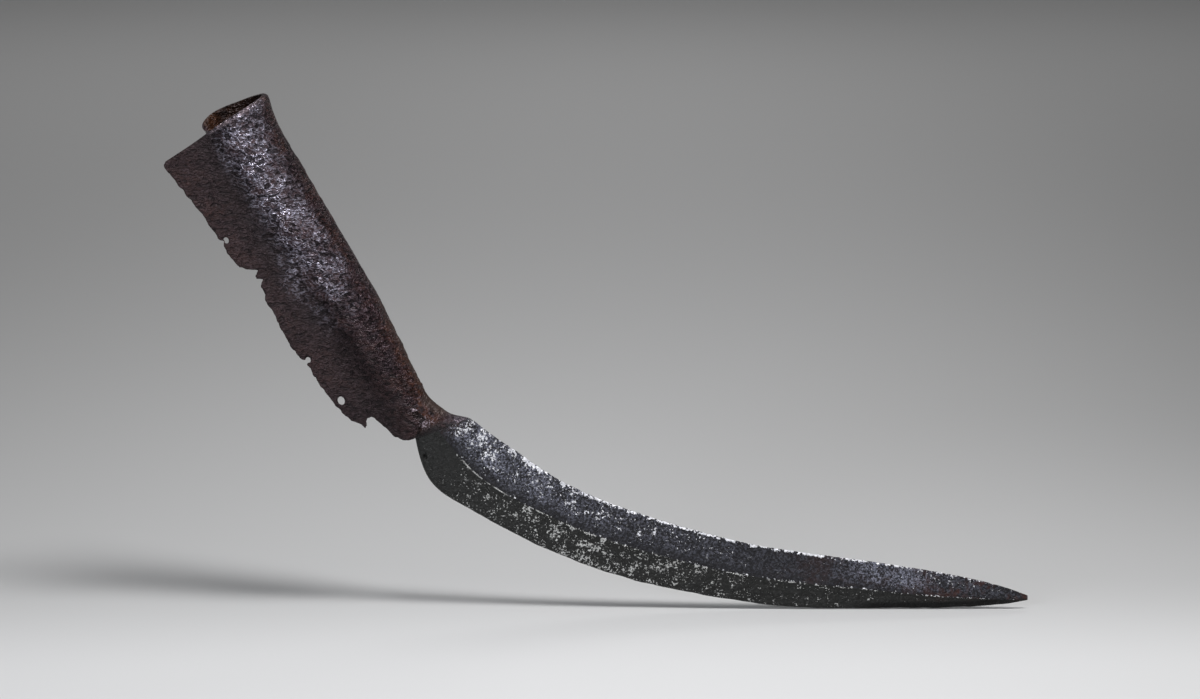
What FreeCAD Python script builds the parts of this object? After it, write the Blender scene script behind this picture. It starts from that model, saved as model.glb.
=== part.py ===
"""Head of an old hand sickle, without its haft, as a FreeCAD document in millimetres.

Four forge-welded irons: an open rolled socket, the solid neck that closes it, the iron back of
the blade and the steel cutting edge laid along the back's weld line.

Frame: the origin is the middle of the socket's mouth. +X runs towards the blade's tip, +Z is up
and +Y is away from the side that carries the flap's edge. The socket leans back from upright by
socket_lean, so its own depths are measured down its axis from the mouth.
"""

import FreeCAD, Part
import math
import os

import Sketcher
from FreeCAD import Placement, Rotation, Vector

SHEET = "sizes"
ACROSS_PROFILE = Vector(0, 1, 0)

# Driving dimensions, in millimetres and degrees.
DIMENSIONS = {
    "socket_lean": 32.6,  # from upright, the mouth tipped away from the blade
    "plate_thickness": 2.4,
    "mouth_slant": 6.0,  # the far lip stands higher than the near one
    "mouth_drop": 1.0,  # of the trimmed mouth below the origin, at the axis
    "seam_angle": -120.0,  # where the near wing leaves the round of the tube
    "seam_run": 2.0,  # straight run from the round to the valley
    "valley_radius": 14.0,  # of the hollow between the round and the flap
    "valley_turn": 44.0,
    "flap_reach": 46.0,  # flap's width from the tube's centre before its edge is trimmed
    "wear_hole_small": 2.6,
    "wear_hole_large": 3.8,
    "scarf_left_x": 90.0,  # the weld of neck to blade is a plane through this line
    "scarf_left_z": -164.5,
    "scarf_slope": 16.9,
    "scarf_block": 80.0,
    "blade_pad_width": 30.0,
}

# Depth below the mouth, outer radius, right-hand side of the tube, and angle of the far wing's
# end: the tube narrows, its axis drifts left and its seam opens downwards.
SOCKET_STATIONS = [
    (-6.0, 17.5, 17.8, 204.0),
    (4.0, 17.8, 18.8, 204.0),
    (12.0, 16.8, 16.7, 203.0),
    (40.0, 16.0, 14.4, 190.0),
    (90.0, 15.2, 12.2, 158.0),
    (130.0, 13.4, 9.0, 130.0),
    (160.0, 12.0, 5.3, 108.0),
    (190.0, 10.8, 1.6, 96.0),
]

# Depth, centre across, half width and half thickness of the solid neck.
NECK_STATIONS = [
    (148.0, -5.0, 10.2, 10.0),
    (160.0, -6.0, 10.0, 9.8),
    (172.0, -5.0, 9.6, 8.6),
    (181.0, -3.0, 9.4, 7.0),
    (189.0, -1.3, 11.6, 6.0),
    (200.0, 1.5, 16.5, 5.2),
]

# Along X: heights of the cutting edge, the weld ridge and the back, then the thickness at each.
BLADE_COLUMNS = ("along", "edge", "ridge", "back", "edge_thick", "ridge_thick", "back_thick")
BLADE_STATIONS = [
    (84.0, -146.0, -156.0, -184.0, 7.0, 11.0, 6.0),
    (100.0, -150.0, -166.0, -192.0, 5.5, 10.5, 5.0),
    (118.0, -156.2, -178.5, -201.5, 3.4, 8.6, 4.0),
    (140.0, -171.2, -195.5, -213.5, 1.8, 7.4, 3.2),
    (170.0, -190.2, -210.0, -227.6, 1.2, 6.8, 2.8),
    (205.0, -204.3, -222.4, -239.2, 1.2, 6.2, 2.6),
    (245.0, -216.0, -232.6, -247.0, 1.2, 5.6, 2.5),
    (285.0, -223.4, -239.0, -251.8, 1.2, 5.0, 2.4),
    (325.0, -228.9, -243.4, -251.9, 1.2, 4.3, 2.2),
    (360.0, -234.6, -246.2, -251.6, 1.1, 3.5, 2.0),
    (385.0, -241.4, -247.3, -249.9, 1.0, 2.4, 1.6),
    (398.0, -246.3, -247.0, -247.8, 0.8, 1.1, 1.0),
]

# Worn free edge of the flap and foot of the plate: across the socket and down from the mouth.
WORN_EDGE = [
    (-19.0, 2.6),
    (-28.0, 3.4),
    (-38.6, 3.6),
    (-41.8, 6.4),
    (-40.6, 18.0),
    (-39.0, 34.0),
    (-38.9, 52.0),
    (-37.0, 53.2),
    (-39.2, 56.0),
    (-37.8, 67.5),
    (-34.4, 71.4),
    (-31.2, 73.6),
    (-34.0, 75.6),
    (-33.0, 78.3),
    (-35.6, 83.0),
    (-37.4, 98.0),
    (-38.5, 114.0),
    (-37.3, 122.0),
    (-35.0, 124.6),
    (-36.4, 128.0),
    (-36.9, 139.0),
    (-36.0, 152.0),
    (-34.0, 163.4),
    (-30.9, 169.8),
    (-28.6, 166.2),
    (-24.8, 167.0),
    (-21.6, 175.4),
    (-20.2, 181.6),
    (-16.0, 187.0),
    (-12.4, 187.4),
    (-5.0, 181.0),
    (9.0, 171.0),
]
EDGE_MARGIN = 12.0  # how far the trimming sketch reaches past the plate

WEAR_HOLES = [
    ("wear_hole_small", -36.0, 52.9),
    ("wear_hole_large", -32.4, 151.0),
]

# The blade's heel, from the scarf to the back: a straight side, then a round corner.
HEEL_TOP = (89.2, -160.0)
HEEL_SIDE = (93.2, -176.5)
HEEL_CORNER = (98.6, -188.0)
HEEL_BOTTOM = (112.0, -198.2)


def fill_sheet(doc: FreeCAD.Document) -> None:
    """Write every driving dimension to the sheet under its own alias."""
    sheet = doc.addObject("Spreadsheet::Sheet", SHEET)
    rows = dict(DIMENSIONS)
    station_names = {
        "socket": (SOCKET_STATIONS, ("depth", "radius", "right", "wing")),
        "neck": (NECK_STATIONS, ("depth", "middle", "wide", "deep")),
        "blade": (BLADE_STATIONS, BLADE_COLUMNS),
    }
    for part, (stations, columns) in station_names.items():
        for number, station in enumerate(stations):
            for column, value in zip(columns, station):
                rows[f"{part}_{column}_{number}"] = value
    for row, (alias, value) in enumerate(rows.items(), start=1):
        sheet.set(f"A{row}", alias)
        sheet.set(f"B{row}", str(value))
        sheet.setAlias(f"B{row}", alias)
    doc.recompute()


def size(doc: FreeCAD.Document, alias: str) -> float:
    """Read one dimension back from the sheet."""
    return float(doc.getObject(SHEET).get(alias))


def origin_plane(body, role: str):
    """Find one of the body's own origin planes by its role."""
    return next(plane for plane in body.Origin.OriginFeatures if plane.Role == role)


def new_sketch(body, name: str, role: str, offset: str = ""):
    """Attach a sketch to an origin plane of its body, moved off it by the offset expression."""
    sketch = body.newObject("Sketcher::SketchObject", name)
    sketch.AttachmentSupport = [(origin_plane(body, role), "")]
    sketch.MapMode = "FlatFace"
    if offset:
        sketch.setExpression(".AttachmentOffset.Base.z", offset)
    return sketch


def bind(sketch, name: str, constraint, expression: str) -> None:
    """Add a dimension to a sketch under its own name and drive it from the sheet."""
    index = sketch.addConstraint(constraint)
    sketch.renameConstraint(index, name)
    sketch.setExpression(f"Constraints.{name}", expression)


def line_between(sketch, start: Vector, end: Vector) -> int:
    """Add a straight line."""
    return sketch.addGeometry(Part.LineSegment(start, end))


def closed_outline(sketch, points: list) -> None:
    """Draw straight lines through the points and back to the first."""
    for start, end in zip(points, points[1:] + points[:1]):
        line_between(sketch, Vector(*start, 0), Vector(*end, 0))
    count = len(points)
    for line in range(count):
        sketch.addConstraint(Sketcher.Constraint("Coincident", line, 2, (line + 1) % count, 1))


def pocket_through(body, name: str, sketch):
    """Cut a sketch's area through the whole body, both ways from the sketch's plane."""
    pocket = body.newObject("PartDesign::Pocket", name)
    pocket.Profile = sketch
    pocket.Type = "ThroughAll"
    pocket.Midplane = True
    return pocket


def heading(degrees: float) -> Vector:
    """Unit vector at an angle from the sketch's X axis."""
    angle = math.radians(degrees)
    return Vector(math.cos(angle), math.sin(angle), 0)


def join(sketch, links: list) -> None:
    """Tie the listed ends of neighbouring edges together."""
    for edge, end, next_edge, next_end in links:
        sketch.addConstraint(Sketcher.Constraint("Coincident", edge, end, next_edge, next_end))


def arc_between(sketch, centre: Vector, radius: float, first: float, last: float) -> int:
    """Add an arc that runs anticlockwise between two angles, in degrees."""
    circle = Part.Circle(centre, Vector(0, 0, 1), radius)
    return sketch.addGeometry(Part.ArcOfCircle(circle, math.radians(first), math.radians(last)))


def plate_section(doc: FreeCAD.Document, body, number: int):
    """Draw the bent plate's cross-section at one depth of the socket.

    The plate runs round the tube from the far wing's end to the seam, straight on, round the
    valley the other way, and out along the flap. Its two faces lie half a thickness either side
    of that middle line.
    """
    sketch = new_sketch(body, f"plate_section_{number}", "XY_Plane", f"-{SHEET}.socket_depth_{number}")
    half = size(doc, "plate_thickness") / 2
    outer = size(doc, f"socket_radius_{number}")
    middle = outer - half
    wing = size(doc, f"socket_wing_{number}")
    seam = size(doc, "seam_angle")
    valley = size(doc, "valley_radius")
    centre = Vector(size(doc, f"socket_right_{number}") - outer, 0, 0)

    valley_first = seam + 180
    valley_last = valley_first + size(doc, "valley_turn")
    flap_way = heading(valley_last + 90)
    valley_start = centre + heading(seam) * middle + heading(seam - 90) * size(doc, "seam_run")
    valley_centre = valley_start - heading(valley_first) * valley
    valley_end = valley_centre + heading(valley_last) * valley
    flap_length = (valley_end.x + size(doc, "flap_reach")) / -flap_way.x

    faces = []
    for side in (half, -half):
        bend = valley - side
        bend_start = valley_centre + heading(valley_first) * bend
        bend_end = valley_centre + heading(valley_last) * bend
        round_arc = arc_between(sketch, centre, middle + side, seam, wing)
        run = line_between(sketch, centre + heading(seam) * (middle + side), bend_start)
        bend_arc = arc_between(sketch, valley_centre, bend, valley_first, valley_last)
        flap = line_between(sketch, bend_end, bend_end + flap_way * flap_length)
        join(sketch, [(round_arc, 1, run, 1), (run, 2, bend_arc, 1), (bend_arc, 2, flap, 1)])
        faces.append((round_arc, bend_arc, flap))
    (outer_round, outer_bend, outer_flap), (inner_round, inner_bend, inner_flap) = faces

    edge_start = valley_centre + heading(valley_last) * (valley - half) + flap_way * flap_length
    edge_end = valley_centre + heading(valley_last) * (valley + half) + flap_way * flap_length
    edge = line_between(sketch, edge_start, edge_end)
    wing_end = line_between(sketch, centre + heading(wing) * outer, centre + heading(wing) * (middle - half))
    join(sketch, [(outer_flap, 2, edge, 1), (edge, 2, inner_flap, 2)])
    join(sketch, [(outer_round, 2, wing_end, 1), (wing_end, 2, inner_round, 2)])
    join(sketch, [(outer_round, 3, inner_round, 3), (outer_bend, 3, inner_bend, 3)])

    radius_cell = f"{SHEET}.socket_radius_{number}"
    right_cell = f"{SHEET}.socket_right_{number}"
    thickness_cell = f"{SHEET}.plate_thickness"
    sketch.addConstraint(Sketcher.Constraint("PointOnObject", outer_round, 3, -1))
    bind(sketch, "tube_outside", Sketcher.Constraint("Radius", outer_round, outer), radius_cell)
    bind(
        sketch,
        "tube_inside",
        Sketcher.Constraint("Radius", inner_round, middle - half),
        f"{radius_cell} - {thickness_cell}",
    )
    bind(
        sketch,
        "tube_middle",
        Sketcher.Constraint("DistanceX", -1, 1, outer_round, 3, centre.x),
        f"{right_cell} - {radius_cell}",
    )
    return sketch


def loft_through(body, name: str, sketches: list):
    """Join a row of closed sketches with one smooth solid."""
    loft = body.newObject("PartDesign::AdditiveLoft", name)
    loft.Profile = sketches[0]
    loft.Sections = sketches[1:]
    return loft


def trim_mouth(doc: FreeCAD.Document, body) -> None:
    """Cut the tube's top off along the slanted mouth, higher on the far side."""
    sketch = new_sketch(body, "mouth_trim", "YZ_Plane")
    reach = size(doc, "flap_reach")
    rise = reach * math.tan(math.radians(size(doc, "mouth_slant")))
    drop = size(doc, "mouth_drop")
    closed_outline(sketch, [(-reach, -drop - rise), (reach, rise - drop), (reach, reach), (-reach, reach)])
    pocket_through(body, "mouth_cut", sketch)


def trim_worn_edge(doc: FreeCAD.Document, body) -> None:
    """Cut away everything outside the flap's worn edge and the plate's worn foot."""
    sketch = new_sketch(body, "worn_edge_trim", "XZ_Plane")
    margin = EDGE_MARGIN
    reach = size(doc, "flap_reach") + margin
    foot = max(depth for _, depth in WORN_EDGE) + margin
    edge = [(across, -depth) for across, depth in WORN_EDGE]
    outside = [(reach / 2, edge[-1][1]), (reach / 2, -foot), (-reach, -foot), (-reach, margin), (edge[0][0], margin)]
    closed_outline(sketch, edge + outside)
    pocket_through(body, "worn_edge_cut", sketch)


def wear_through(doc: FreeCAD.Document, body) -> None:
    """Open the holes that rust has worn through the flap."""
    sketch = new_sketch(body, "wear_hole_circles", "XZ_Plane")
    for alias, across, depth in WEAR_HOLES:
        radius = size(doc, alias) / 2
        hole = sketch.addGeometry(Part.Circle(Vector(across, -depth, 0), Vector(0, 0, 1), radius))
        bind(sketch, f"{alias}_radius", Sketcher.Constraint("Radius", hole, radius), f"{SHEET}.{alias} / 2")
    pocket_through(body, "wear_holes", sketch)


def build_socket(doc: FreeCAD.Document):
    """Roll the socket: one plate bent into a tube with a flap beside its open seam."""
    body = doc.addObject("PartDesign::Body", "socket_plate")
    body.Label = "socket_plate"
    sections = [plate_section(doc, body, number) for number in range(len(SOCKET_STATIONS))]
    loft_through(body, "rolled_plate", sections)
    trim_mouth(doc, body)
    trim_worn_edge(doc, body)
    wear_through(doc, body)
    body.Placement = Placement(Vector(), Rotation(ACROSS_PROFILE, -size(doc, "socket_lean")))
    doc.recompute()
    return body


def build_scarf(doc: FreeCAD.Document):
    """Block whose underside is the slanted weld between neck and blade."""
    block = doc.addObject("Part::Box", "scarf_block")
    for side in ("Length", "Width", "Height"):
        block.setExpression(side, f"{SHEET}.scarf_block")
    turn = Rotation(ACROSS_PROFILE, -size(doc, "scarf_slope"))
    third = size(doc, "scarf_block") / 3
    corner = Vector(size(doc, "scarf_left_x"), 0, size(doc, "scarf_left_z"))
    block.Placement = Placement(corner + turn.multVec(Vector(-third, -1.5 * third, 0)), turn)
    return block


def build_neck(doc: FreeCAD.Document, socket, scarf):
    """Draw the neck down from a plug in the socket to its scarf on the blade."""
    lean = size(doc, "socket_lean")
    rings = []
    for number in range(len(NECK_STATIONS)):
        ring = doc.addObject("Part::Ellipse", f"neck_ring_{number}")
        middle = f"{SHEET}.neck_middle_{number}"
        depth = f"{SHEET}.neck_depth_{number}"
        angle = f"({SHEET}.socket_lean * 1 deg)"
        ring.Placement = Placement(Vector(), Rotation(ACROSS_PROFILE, -lean))
        ring.setExpression("MajorRadius", f"{SHEET}.neck_wide_{number}")
        ring.setExpression("MinorRadius", f"{SHEET}.neck_deep_{number}")
        ring.setExpression("Placement.Base.x", f"{middle} * cos{angle} + {depth} * sin{angle}")
        ring.setExpression("Placement.Base.z", f"{middle} * sin{angle} - {depth} * cos{angle}")
        rings.append(ring)
    drawn = doc.addObject("Part::Loft", "drawn_neck")
    drawn.Sections = rings
    drawn.Solid = True
    scarfed = doc.addObject("Part::Common", "scarfed_neck")
    scarfed.Base = drawn
    scarfed.Tool = scarf
    neck = doc.addObject("Part::Cut", "neck_shank")
    neck.Label = "neck_shank"
    neck.Base = scarfed
    neck.Tool = socket
    return neck


def blade_section(doc: FreeCAD.Document, body, number: int):
    """Draw the blade's six-sided section at one place along it, thickest at the weld ridge."""
    sketch = new_sketch(body, f"blade_section_{number}", "YZ_Plane", f"{SHEET}.blade_along_{number}")
    levels = ("edge", "ridge", "back", "back", "ridge", "edge")
    signs = (1, 1, 1, -1, -1, -1)
    heights = [size(doc, f"blade_{level}_{number}") for level in levels]
    halves = [sign * size(doc, f"blade_{level}_thick_{number}") / 2 for level, sign in zip(levels, signs)]
    closed_outline(sketch, list(zip(halves, heights)))
    for corner, (level, sign, half, height) in enumerate(zip(levels, signs, halves, heights)):
        out = Sketcher.Constraint("DistanceX", -1, 1, corner, 1, half)
        up = Sketcher.Constraint("DistanceY", -1, 1, corner, 1, height)
        bind(sketch, f"out_{corner}", out, f"{sign} * {SHEET}.blade_{level}_thick_{number} / 2")
        bind(sketch, f"up_{corner}", up, f"{SHEET}.blade_{level}_{number}")
    return sketch


def build_blade_blank(doc: FreeCAD.Document):
    """Forge the whole blade in one, from inside the scarf to the tip, with its rounded heel."""
    body = doc.addObject("PartDesign::Body", "blade_blank")
    sections = [blade_section(doc, body, number) for number in range(len(BLADE_STATIONS))]
    loft_through(body, "forged_blade", sections)
    sketch = new_sketch(body, "heel_trim", "XZ_Plane")
    top, side, corner, bottom = (
        Vector(*point, 0) for point in (HEEL_TOP, HEEL_SIDE, HEEL_CORNER, HEEL_BOTTOM)
    )
    left = BLADE_STATIONS[0][0] - EDGE_MARGIN
    low = BLADE_STATIONS[0][3] - 3 * EDGE_MARGIN
    sketch.addGeometry(Part.Arc(side, corner, bottom))
    outside = [bottom, Vector(bottom.x, low, 0), Vector(left, low, 0), Vector(left, top.y, 0), top, side]
    for start, end in zip(outside, outside[1:]):
        line_between(sketch, start, end)
    pocket_through(body, "heel_cut", sketch)
    doc.recompute()
    return body


def build_blade(doc: FreeCAD.Document, scarf) -> list:
    """Part the blade into its iron back and the steel edge above the weld ridge."""
    blank = build_blade_blank(doc)
    forged = doc.addObject("Part::Cut", "scarfed_blade")
    forged.Base = blank
    forged.Tool = scarf

    zone = doc.addObject("PartDesign::Body", "steel_zone")
    sketch = new_sketch(zone, "steel_outline", "XZ_Plane")
    ridge = [Vector(along, height, 0) for along, _, height, *_ in BLADE_STATIONS]
    curve = Part.BSplineCurve()
    curve.interpolate(ridge)
    sketch.addGeometry(curve)
    top = BLADE_STATIONS[0][1] + EDGE_MARGIN
    corners = [ridge[-1], Vector(ridge[-1].x, top, 0), Vector(ridge[0].x, top, 0), ridge[0]]
    for start, end in zip(corners, corners[1:]):
        line_between(sketch, start, end)
    pad = zone.newObject("PartDesign::Pad", "steel_side")
    pad.Profile = sketch
    pad.setExpression("Length", f"{SHEET}.blade_pad_width")
    pad.Midplane = True

    pieces = []
    for name, kind in (("blade_edge", "Part::Common"), ("blade_back", "Part::Cut")):
        piece = doc.addObject(kind, name)
        piece.Label = name
        piece.Base = forged
        piece.Tool = zone
        pieces.append(piece)
    return pieces


def check_document(doc: FreeCAD.Document, pieces: list) -> None:
    """Stop if any object failed to build or a piece isn't one sound solid."""
    for item in doc.Objects:
        if "Invalid" in item.State or "Error" in item.State:
            raise RuntimeError(f"{item.Name} failed: {item.State}")
    for piece in pieces:
        shape = piece.Shape
        if shape.isNull() or not shape.isValid() or len(shape.Solids) != 1:
            raise RuntimeError(f"{piece.Label} is not one sound solid")
        box = shape.BoundBox
        print(
            f"{piece.Label}: {shape.Volume / 1000:.1f} cm3,"
            f" x {box.XMin:.1f}..{box.XMax:.1f}, y {box.YMin:.1f}..{box.YMax:.1f}, z {box.ZMin:.1f}..{box.ZMax:.1f}"
        )


def main() -> None:
    """Build the four irons, test them and write one file for each."""
    doc = FreeCAD.newDocument("sickle_head")
    fill_sheet(doc)
    socket = build_socket(doc)
    scarf = build_scarf(doc)
    neck = build_neck(doc, socket, scarf)
    pieces = [socket, neck, *build_blade(doc, scarf)]
    doc.recompute()
    check_document(doc, pieces)
    os.makedirs("parts", exist_ok=True)
    for piece in pieces:
        piece.Shape.exportStep(f"parts/{piece.Label}.step")


main()
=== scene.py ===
"""Looks of an old hand sickle's head: rolled iron socket, drawn neck, iron back and steel edge.

Lengths are in millimetres until a mesh is made, in the part's own frame: origin at the middle of
the socket's mouth, +X towards the blade's tip, +Z up, +Y away from the side with the flap's edge.
"""

import logging
import math
from dataclasses import dataclass
from enum import Enum
from functools import reduce
from itertools import product
from typing import Dict, List, Optional, Sequence, Tuple, Union

import bpy
import numpy as np
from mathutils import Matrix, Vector


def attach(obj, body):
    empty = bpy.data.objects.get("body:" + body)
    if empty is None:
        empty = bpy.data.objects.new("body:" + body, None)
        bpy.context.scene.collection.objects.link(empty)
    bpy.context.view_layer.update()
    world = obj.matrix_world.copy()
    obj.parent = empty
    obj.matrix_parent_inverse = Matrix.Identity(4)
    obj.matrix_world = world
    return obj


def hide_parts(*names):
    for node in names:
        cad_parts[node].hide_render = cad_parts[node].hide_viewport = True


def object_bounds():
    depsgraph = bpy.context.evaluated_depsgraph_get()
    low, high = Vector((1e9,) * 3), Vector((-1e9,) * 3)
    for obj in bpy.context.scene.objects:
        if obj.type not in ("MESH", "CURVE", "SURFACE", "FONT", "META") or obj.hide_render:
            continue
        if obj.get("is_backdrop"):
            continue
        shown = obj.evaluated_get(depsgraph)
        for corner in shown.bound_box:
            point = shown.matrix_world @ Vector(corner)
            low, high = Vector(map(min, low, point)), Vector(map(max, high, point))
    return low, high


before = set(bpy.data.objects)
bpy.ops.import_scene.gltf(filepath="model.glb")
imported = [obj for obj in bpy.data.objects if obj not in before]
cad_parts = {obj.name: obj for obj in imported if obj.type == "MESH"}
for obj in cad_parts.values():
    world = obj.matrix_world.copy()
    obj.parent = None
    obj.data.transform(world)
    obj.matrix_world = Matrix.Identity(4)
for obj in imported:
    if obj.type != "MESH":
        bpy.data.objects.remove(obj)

LOG = logging.getLogger("sickle_head")
MM = 0.001
BODY = "root"
Grid = np.ndarray
Row = Tuple[float, ...]
Line = Tuple[Tuple[float, float], ...]


class Iron(Enum):
    """The head's four irons: the CAD node each stands for and its material slot."""

    SOCKET = ("socket_plate", "socket_iron")
    NECK = ("neck_shank", "neck_iron")
    BACK = ("blade_back", "back_iron")
    EDGE = ("blade_edge", "edge_steel")


# --- Curves and seeded surface noise ---


def through(knots: Sequence[float], values: Sequence, at: Grid) -> Grid:
    """Smooth curve through values at rising knots.

    Each span is a cubic Hermite curve whose end slopes are the slopes of the chords across
    the neighbouring knots, so the curve passes every value without a kink.

    Args:
        knots: Rising parameter of each value.
        values: Numbers, or points with several coordinates, at the knots.
        at: Parameters to work the curve out at.

    Returns:
        The curve at those parameters, with the values' own trailing shape.
    """
    x = np.asarray(knots, float)
    y = np.asarray(values, float)
    slope = np.gradient(y, x, axis=0)
    span = np.clip(np.searchsorted(x, at, side="right") - 1, 0, len(x) - 2)
    width = x[span + 1] - x[span]
    f = np.clip((at - x[span]) / width, 0.0, 1.0)
    if y.ndim > 1:
        f, width = f[..., None], width[..., None]
    start, end = y[span], y[span + 1]
    rise, fall = slope[span] * width, slope[span + 1] * width
    return (
        start * (2 * f**3 - 3 * f**2 + 1)
        + rise * (f**3 - 2 * f**2 + f)
        + end * (3 * f**2 - 2 * f**3)
        + fall * (f**3 - f**2)
    )


def ramp(value: Grid, low: float, high: float) -> Grid:
    """Smooth step from 0 at low to 1 at high; low may be the larger one."""
    f = np.clip((value - low) / (high - low), 0.0, 1.0)
    return f * f * (3 - 2 * f)


def crowded(count: int, tight_start: float, tight_end: float) -> Grid:
    """Parameters from 0 to 1 that stand closer together towards the ends.

    Args:
        count: How many.
        tight_start: 0 for even spacing at the start, 1 for spacing that shrinks to nothing.
        tight_end: The same at the end.

    Returns:
        Rising parameters: the running sum of steps shrunk near each end, scaled to reach 1.
    """
    middle = (np.arange(count - 1) + 0.5) / (count - 1)
    step = 1 - tight_start * ramp(middle, 0.08, 0.0) - tight_end * ramp(middle, 0.92, 1.0)
    return np.concatenate([[0.0], np.cumsum(step)]) / step.sum()


@dataclass(frozen=True)
class Weathering:
    """Seeded noise over two surface lengths in millimetres.

    The radius of a hollow is in cells.
    """

    seed: int
    lattice: int = 256
    hollow_radius: float = 0.62

    def swell(self, u: Grid, v: Grid, cell: float, layer: int = 0) -> Grid:
        """Smooth bumps about one cell apart.

        Random heights on a square lattice are blended with the quintic fade of the place
        within its cell, so the surface and its slope are continuous.

        Args:
            u: First length.
            v: Second length.
            cell: Lattice spacing.
            layer: Picks one of many independent fields.

        Returns:
            Heights from about -1 to 1.
        """
        random = np.random.default_rng([self.seed, layer])
        table = random.uniform(-1, 1, (self.lattice, self.lattice))
        x, y = u / cell, v / cell
        i, j = np.floor(x).astype(int), np.floor(y).astype(int)
        fx, fy = x - i, y - j
        fx = fx**3 * (fx * (6 * fx - 15) + 10)
        fy = fy**3 * (fy * (6 * fy - 15) + 10)
        n = self.lattice
        near = table[i % n, j % n] * (1 - fx) + table[(i + 1) % n, j % n] * fx
        far = table[i % n, (j + 1) % n] * (1 - fx) + table[(i + 1) % n, (j + 1) % n] * fx
        return near * (1 - fy) + far * fy

    def rough(self, u: Grid, v: Grid, cell: float, octaves: int = 3, layer: int = 0) -> Grid:
        """Sum of swells, each half as wide and half as high as the one before."""
        return sum(self.swell(u, v, cell / 2**k, layer + 17 * k) / 2**k for k in range(octaves))

    def dents(self, u: Grid, v: Grid, cell: float, layer: int = 0) -> Grid:
        """Round hollows scattered one to a cell.

        Every cell holds one jittered centre; the result falls as a parabola from 0, at a
        hollow's radius or more from the nearest centre, to -1 at a centre.

        Args:
            u: First length.
            v: Second length.
            cell: Mean spacing of the hollows.
            layer: Picks one of many independent fields.

        Returns:
            Depths from -1 to 0.
        """
        rng = np.random.default_rng([self.seed, layer, 7])
        jitter = rng.uniform(0.1, 0.9, (2, self.lattice, self.lattice))
        x, y = u / cell, v / cell
        i, j = np.floor(x).astype(int), np.floor(y).astype(int)
        nearest = np.full(x.shape, 9.0)
        for di, dj in product((-1, 0, 1), repeat=2):
            a, b = (i + di) % self.lattice, (j + dj) % self.lattice
            gap = np.hypot(i + di + jitter[0, a, b] - x, j + dj + jitter[1, a, b] - y)
            nearest = np.minimum(nearest, gap)
        return -np.clip(1 - (nearest / self.hollow_radius) ** 2, 0, 1)


# --- Meshes ---


def travel(points: Grid, axis: int) -> Tuple[Grid, Grid]:
    """Distance along a grid's lines from their first and from their last point.

    Args:
        points: Grid of points.
        axis: 0 for the lines down the grid, 1 for the lines across it.

    Returns:
        Running length from the first point, and from the last.
    """
    step = np.linalg.norm(np.diff(points, axis=axis), axis=-1)
    start = np.cumsum(step, axis=axis)
    zero = np.zeros_like(np.take(start, [0], axis=axis))
    start = np.concatenate([zero, start], axis=axis)
    return start, np.take(start, [-1], axis=axis) - start


@dataclass
class Shell:
    """Closed skin between two facing grids, with a wall round every border and hole."""

    name: str
    near: Grid
    far: Grid
    kept: Optional[Grid] = None
    marks: Optional[Dict[str, Tuple[Grid, Grid]]] = None

    def faces(self) -> Grid:
        """List the skin's quads.

        The near grid's quads run along then down; the far grid's run the other way. Where a
        kept quad borders a missing one, or the grid's end, a wall quad joins near to far.

        Returns:
            Vertex numbers, four to a row, near grid first and far grid after it.
        """
        rows, columns = self.near.shape[:2]
        kept = np.ones((rows - 1, columns - 1), bool) if self.kept is None else self.kept
        number = np.arange(rows * columns).reshape(rows, columns)
        far = rows * columns
        a, b = number[:-1, :-1], number[1:, :-1]
        c, d = number[1:, 1:], number[:-1, 1:]
        quads = [
            np.stack([a, d, c, b], -1)[kept],
            np.stack([a, b, c, d], -1)[kept] + far,
        ]
        padded = np.pad(kept, 1)
        sides = (
            (padded[1:-1, :-2], a, b),
            (padded[2:, 1:-1], b, c),
            (padded[1:-1, 2:], c, d),
            (padded[:-2, 1:-1], d, a),
        )
        for neighbour, start, end in sides:
            open_side = kept & ~neighbour
            p, q = start[open_side], end[open_side]
            quads.append(np.stack([p, q, q + far, p + far], -1))
        return np.concatenate(quads)

    def build(self) -> bpy.types.Object:
        """Make the mesh object, in metres, smooth shaded, with its marks as attributes.

        Returns:
            The object, at the origin, linked to the scene.
        """
        points = np.concatenate([self.near.reshape(-1, 3), self.far.reshape(-1, 3)]) * MM
        used, faces = np.unique(self.faces(), return_inverse=True)
        faces = faces.reshape(-1, 4)
        mesh = bpy.data.meshes.new(self.name)
        mesh.vertices.add(len(used))
        mesh.vertices.foreach_set("co", points[used].astype(np.float32).ravel())
        mesh.loops.add(faces.size)
        mesh.loops.foreach_set("vertex_index", faces.astype(np.int32).ravel())
        mesh.polygons.add(len(faces))
        mesh.polygons.foreach_set("loop_start", np.arange(0, faces.size, 4, dtype=np.int32))
        mesh.update(calc_edges=True)
        mesh.validate()
        mesh.shade_smooth()
        for name, (near, far) in (self.marks or {}).items():
            values = np.concatenate([near.ravel(), far.ravel()])[used].astype(np.float32)
            mesh.attributes.new(name, "FLOAT", "POINT").data.foreach_set("value", values)
        piece = bpy.data.objects.new(self.name, mesh)
        bpy.context.scene.collection.objects.link(piece)
        return piece


def hand_over(piece: bpy.types.Object, iron: Iron, material: bpy.types.Material) -> None:
    """Dress a piece and let it stand for a CAD node.

    Args:
        piece: The finished object.
        iron: Which of the head's irons it is.
        material: Its finish.
    """
    node, slot = iron.value
    piece.data.materials.append(material)
    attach(piece, BODY)
    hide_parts(node)
    LOG.info("%s: %d faces, stands for %s", piece.name, len(piece.data.polygons), node)


# --- Socket ---

LEAN = math.radians(32.6)
ACROSS = np.array([math.cos(LEAN), 0.0, math.sin(LEAN)])
AWAY = np.array([0.0, 1.0, 0.0])
DOWN = np.array([math.sin(LEAN), 0.0, -math.cos(LEAN)])


def heading(angle: Grid) -> Tuple[Grid, Grid]:
    """Cosine and sine of an angle in radians."""
    return np.cos(angle), np.sin(angle)


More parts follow.
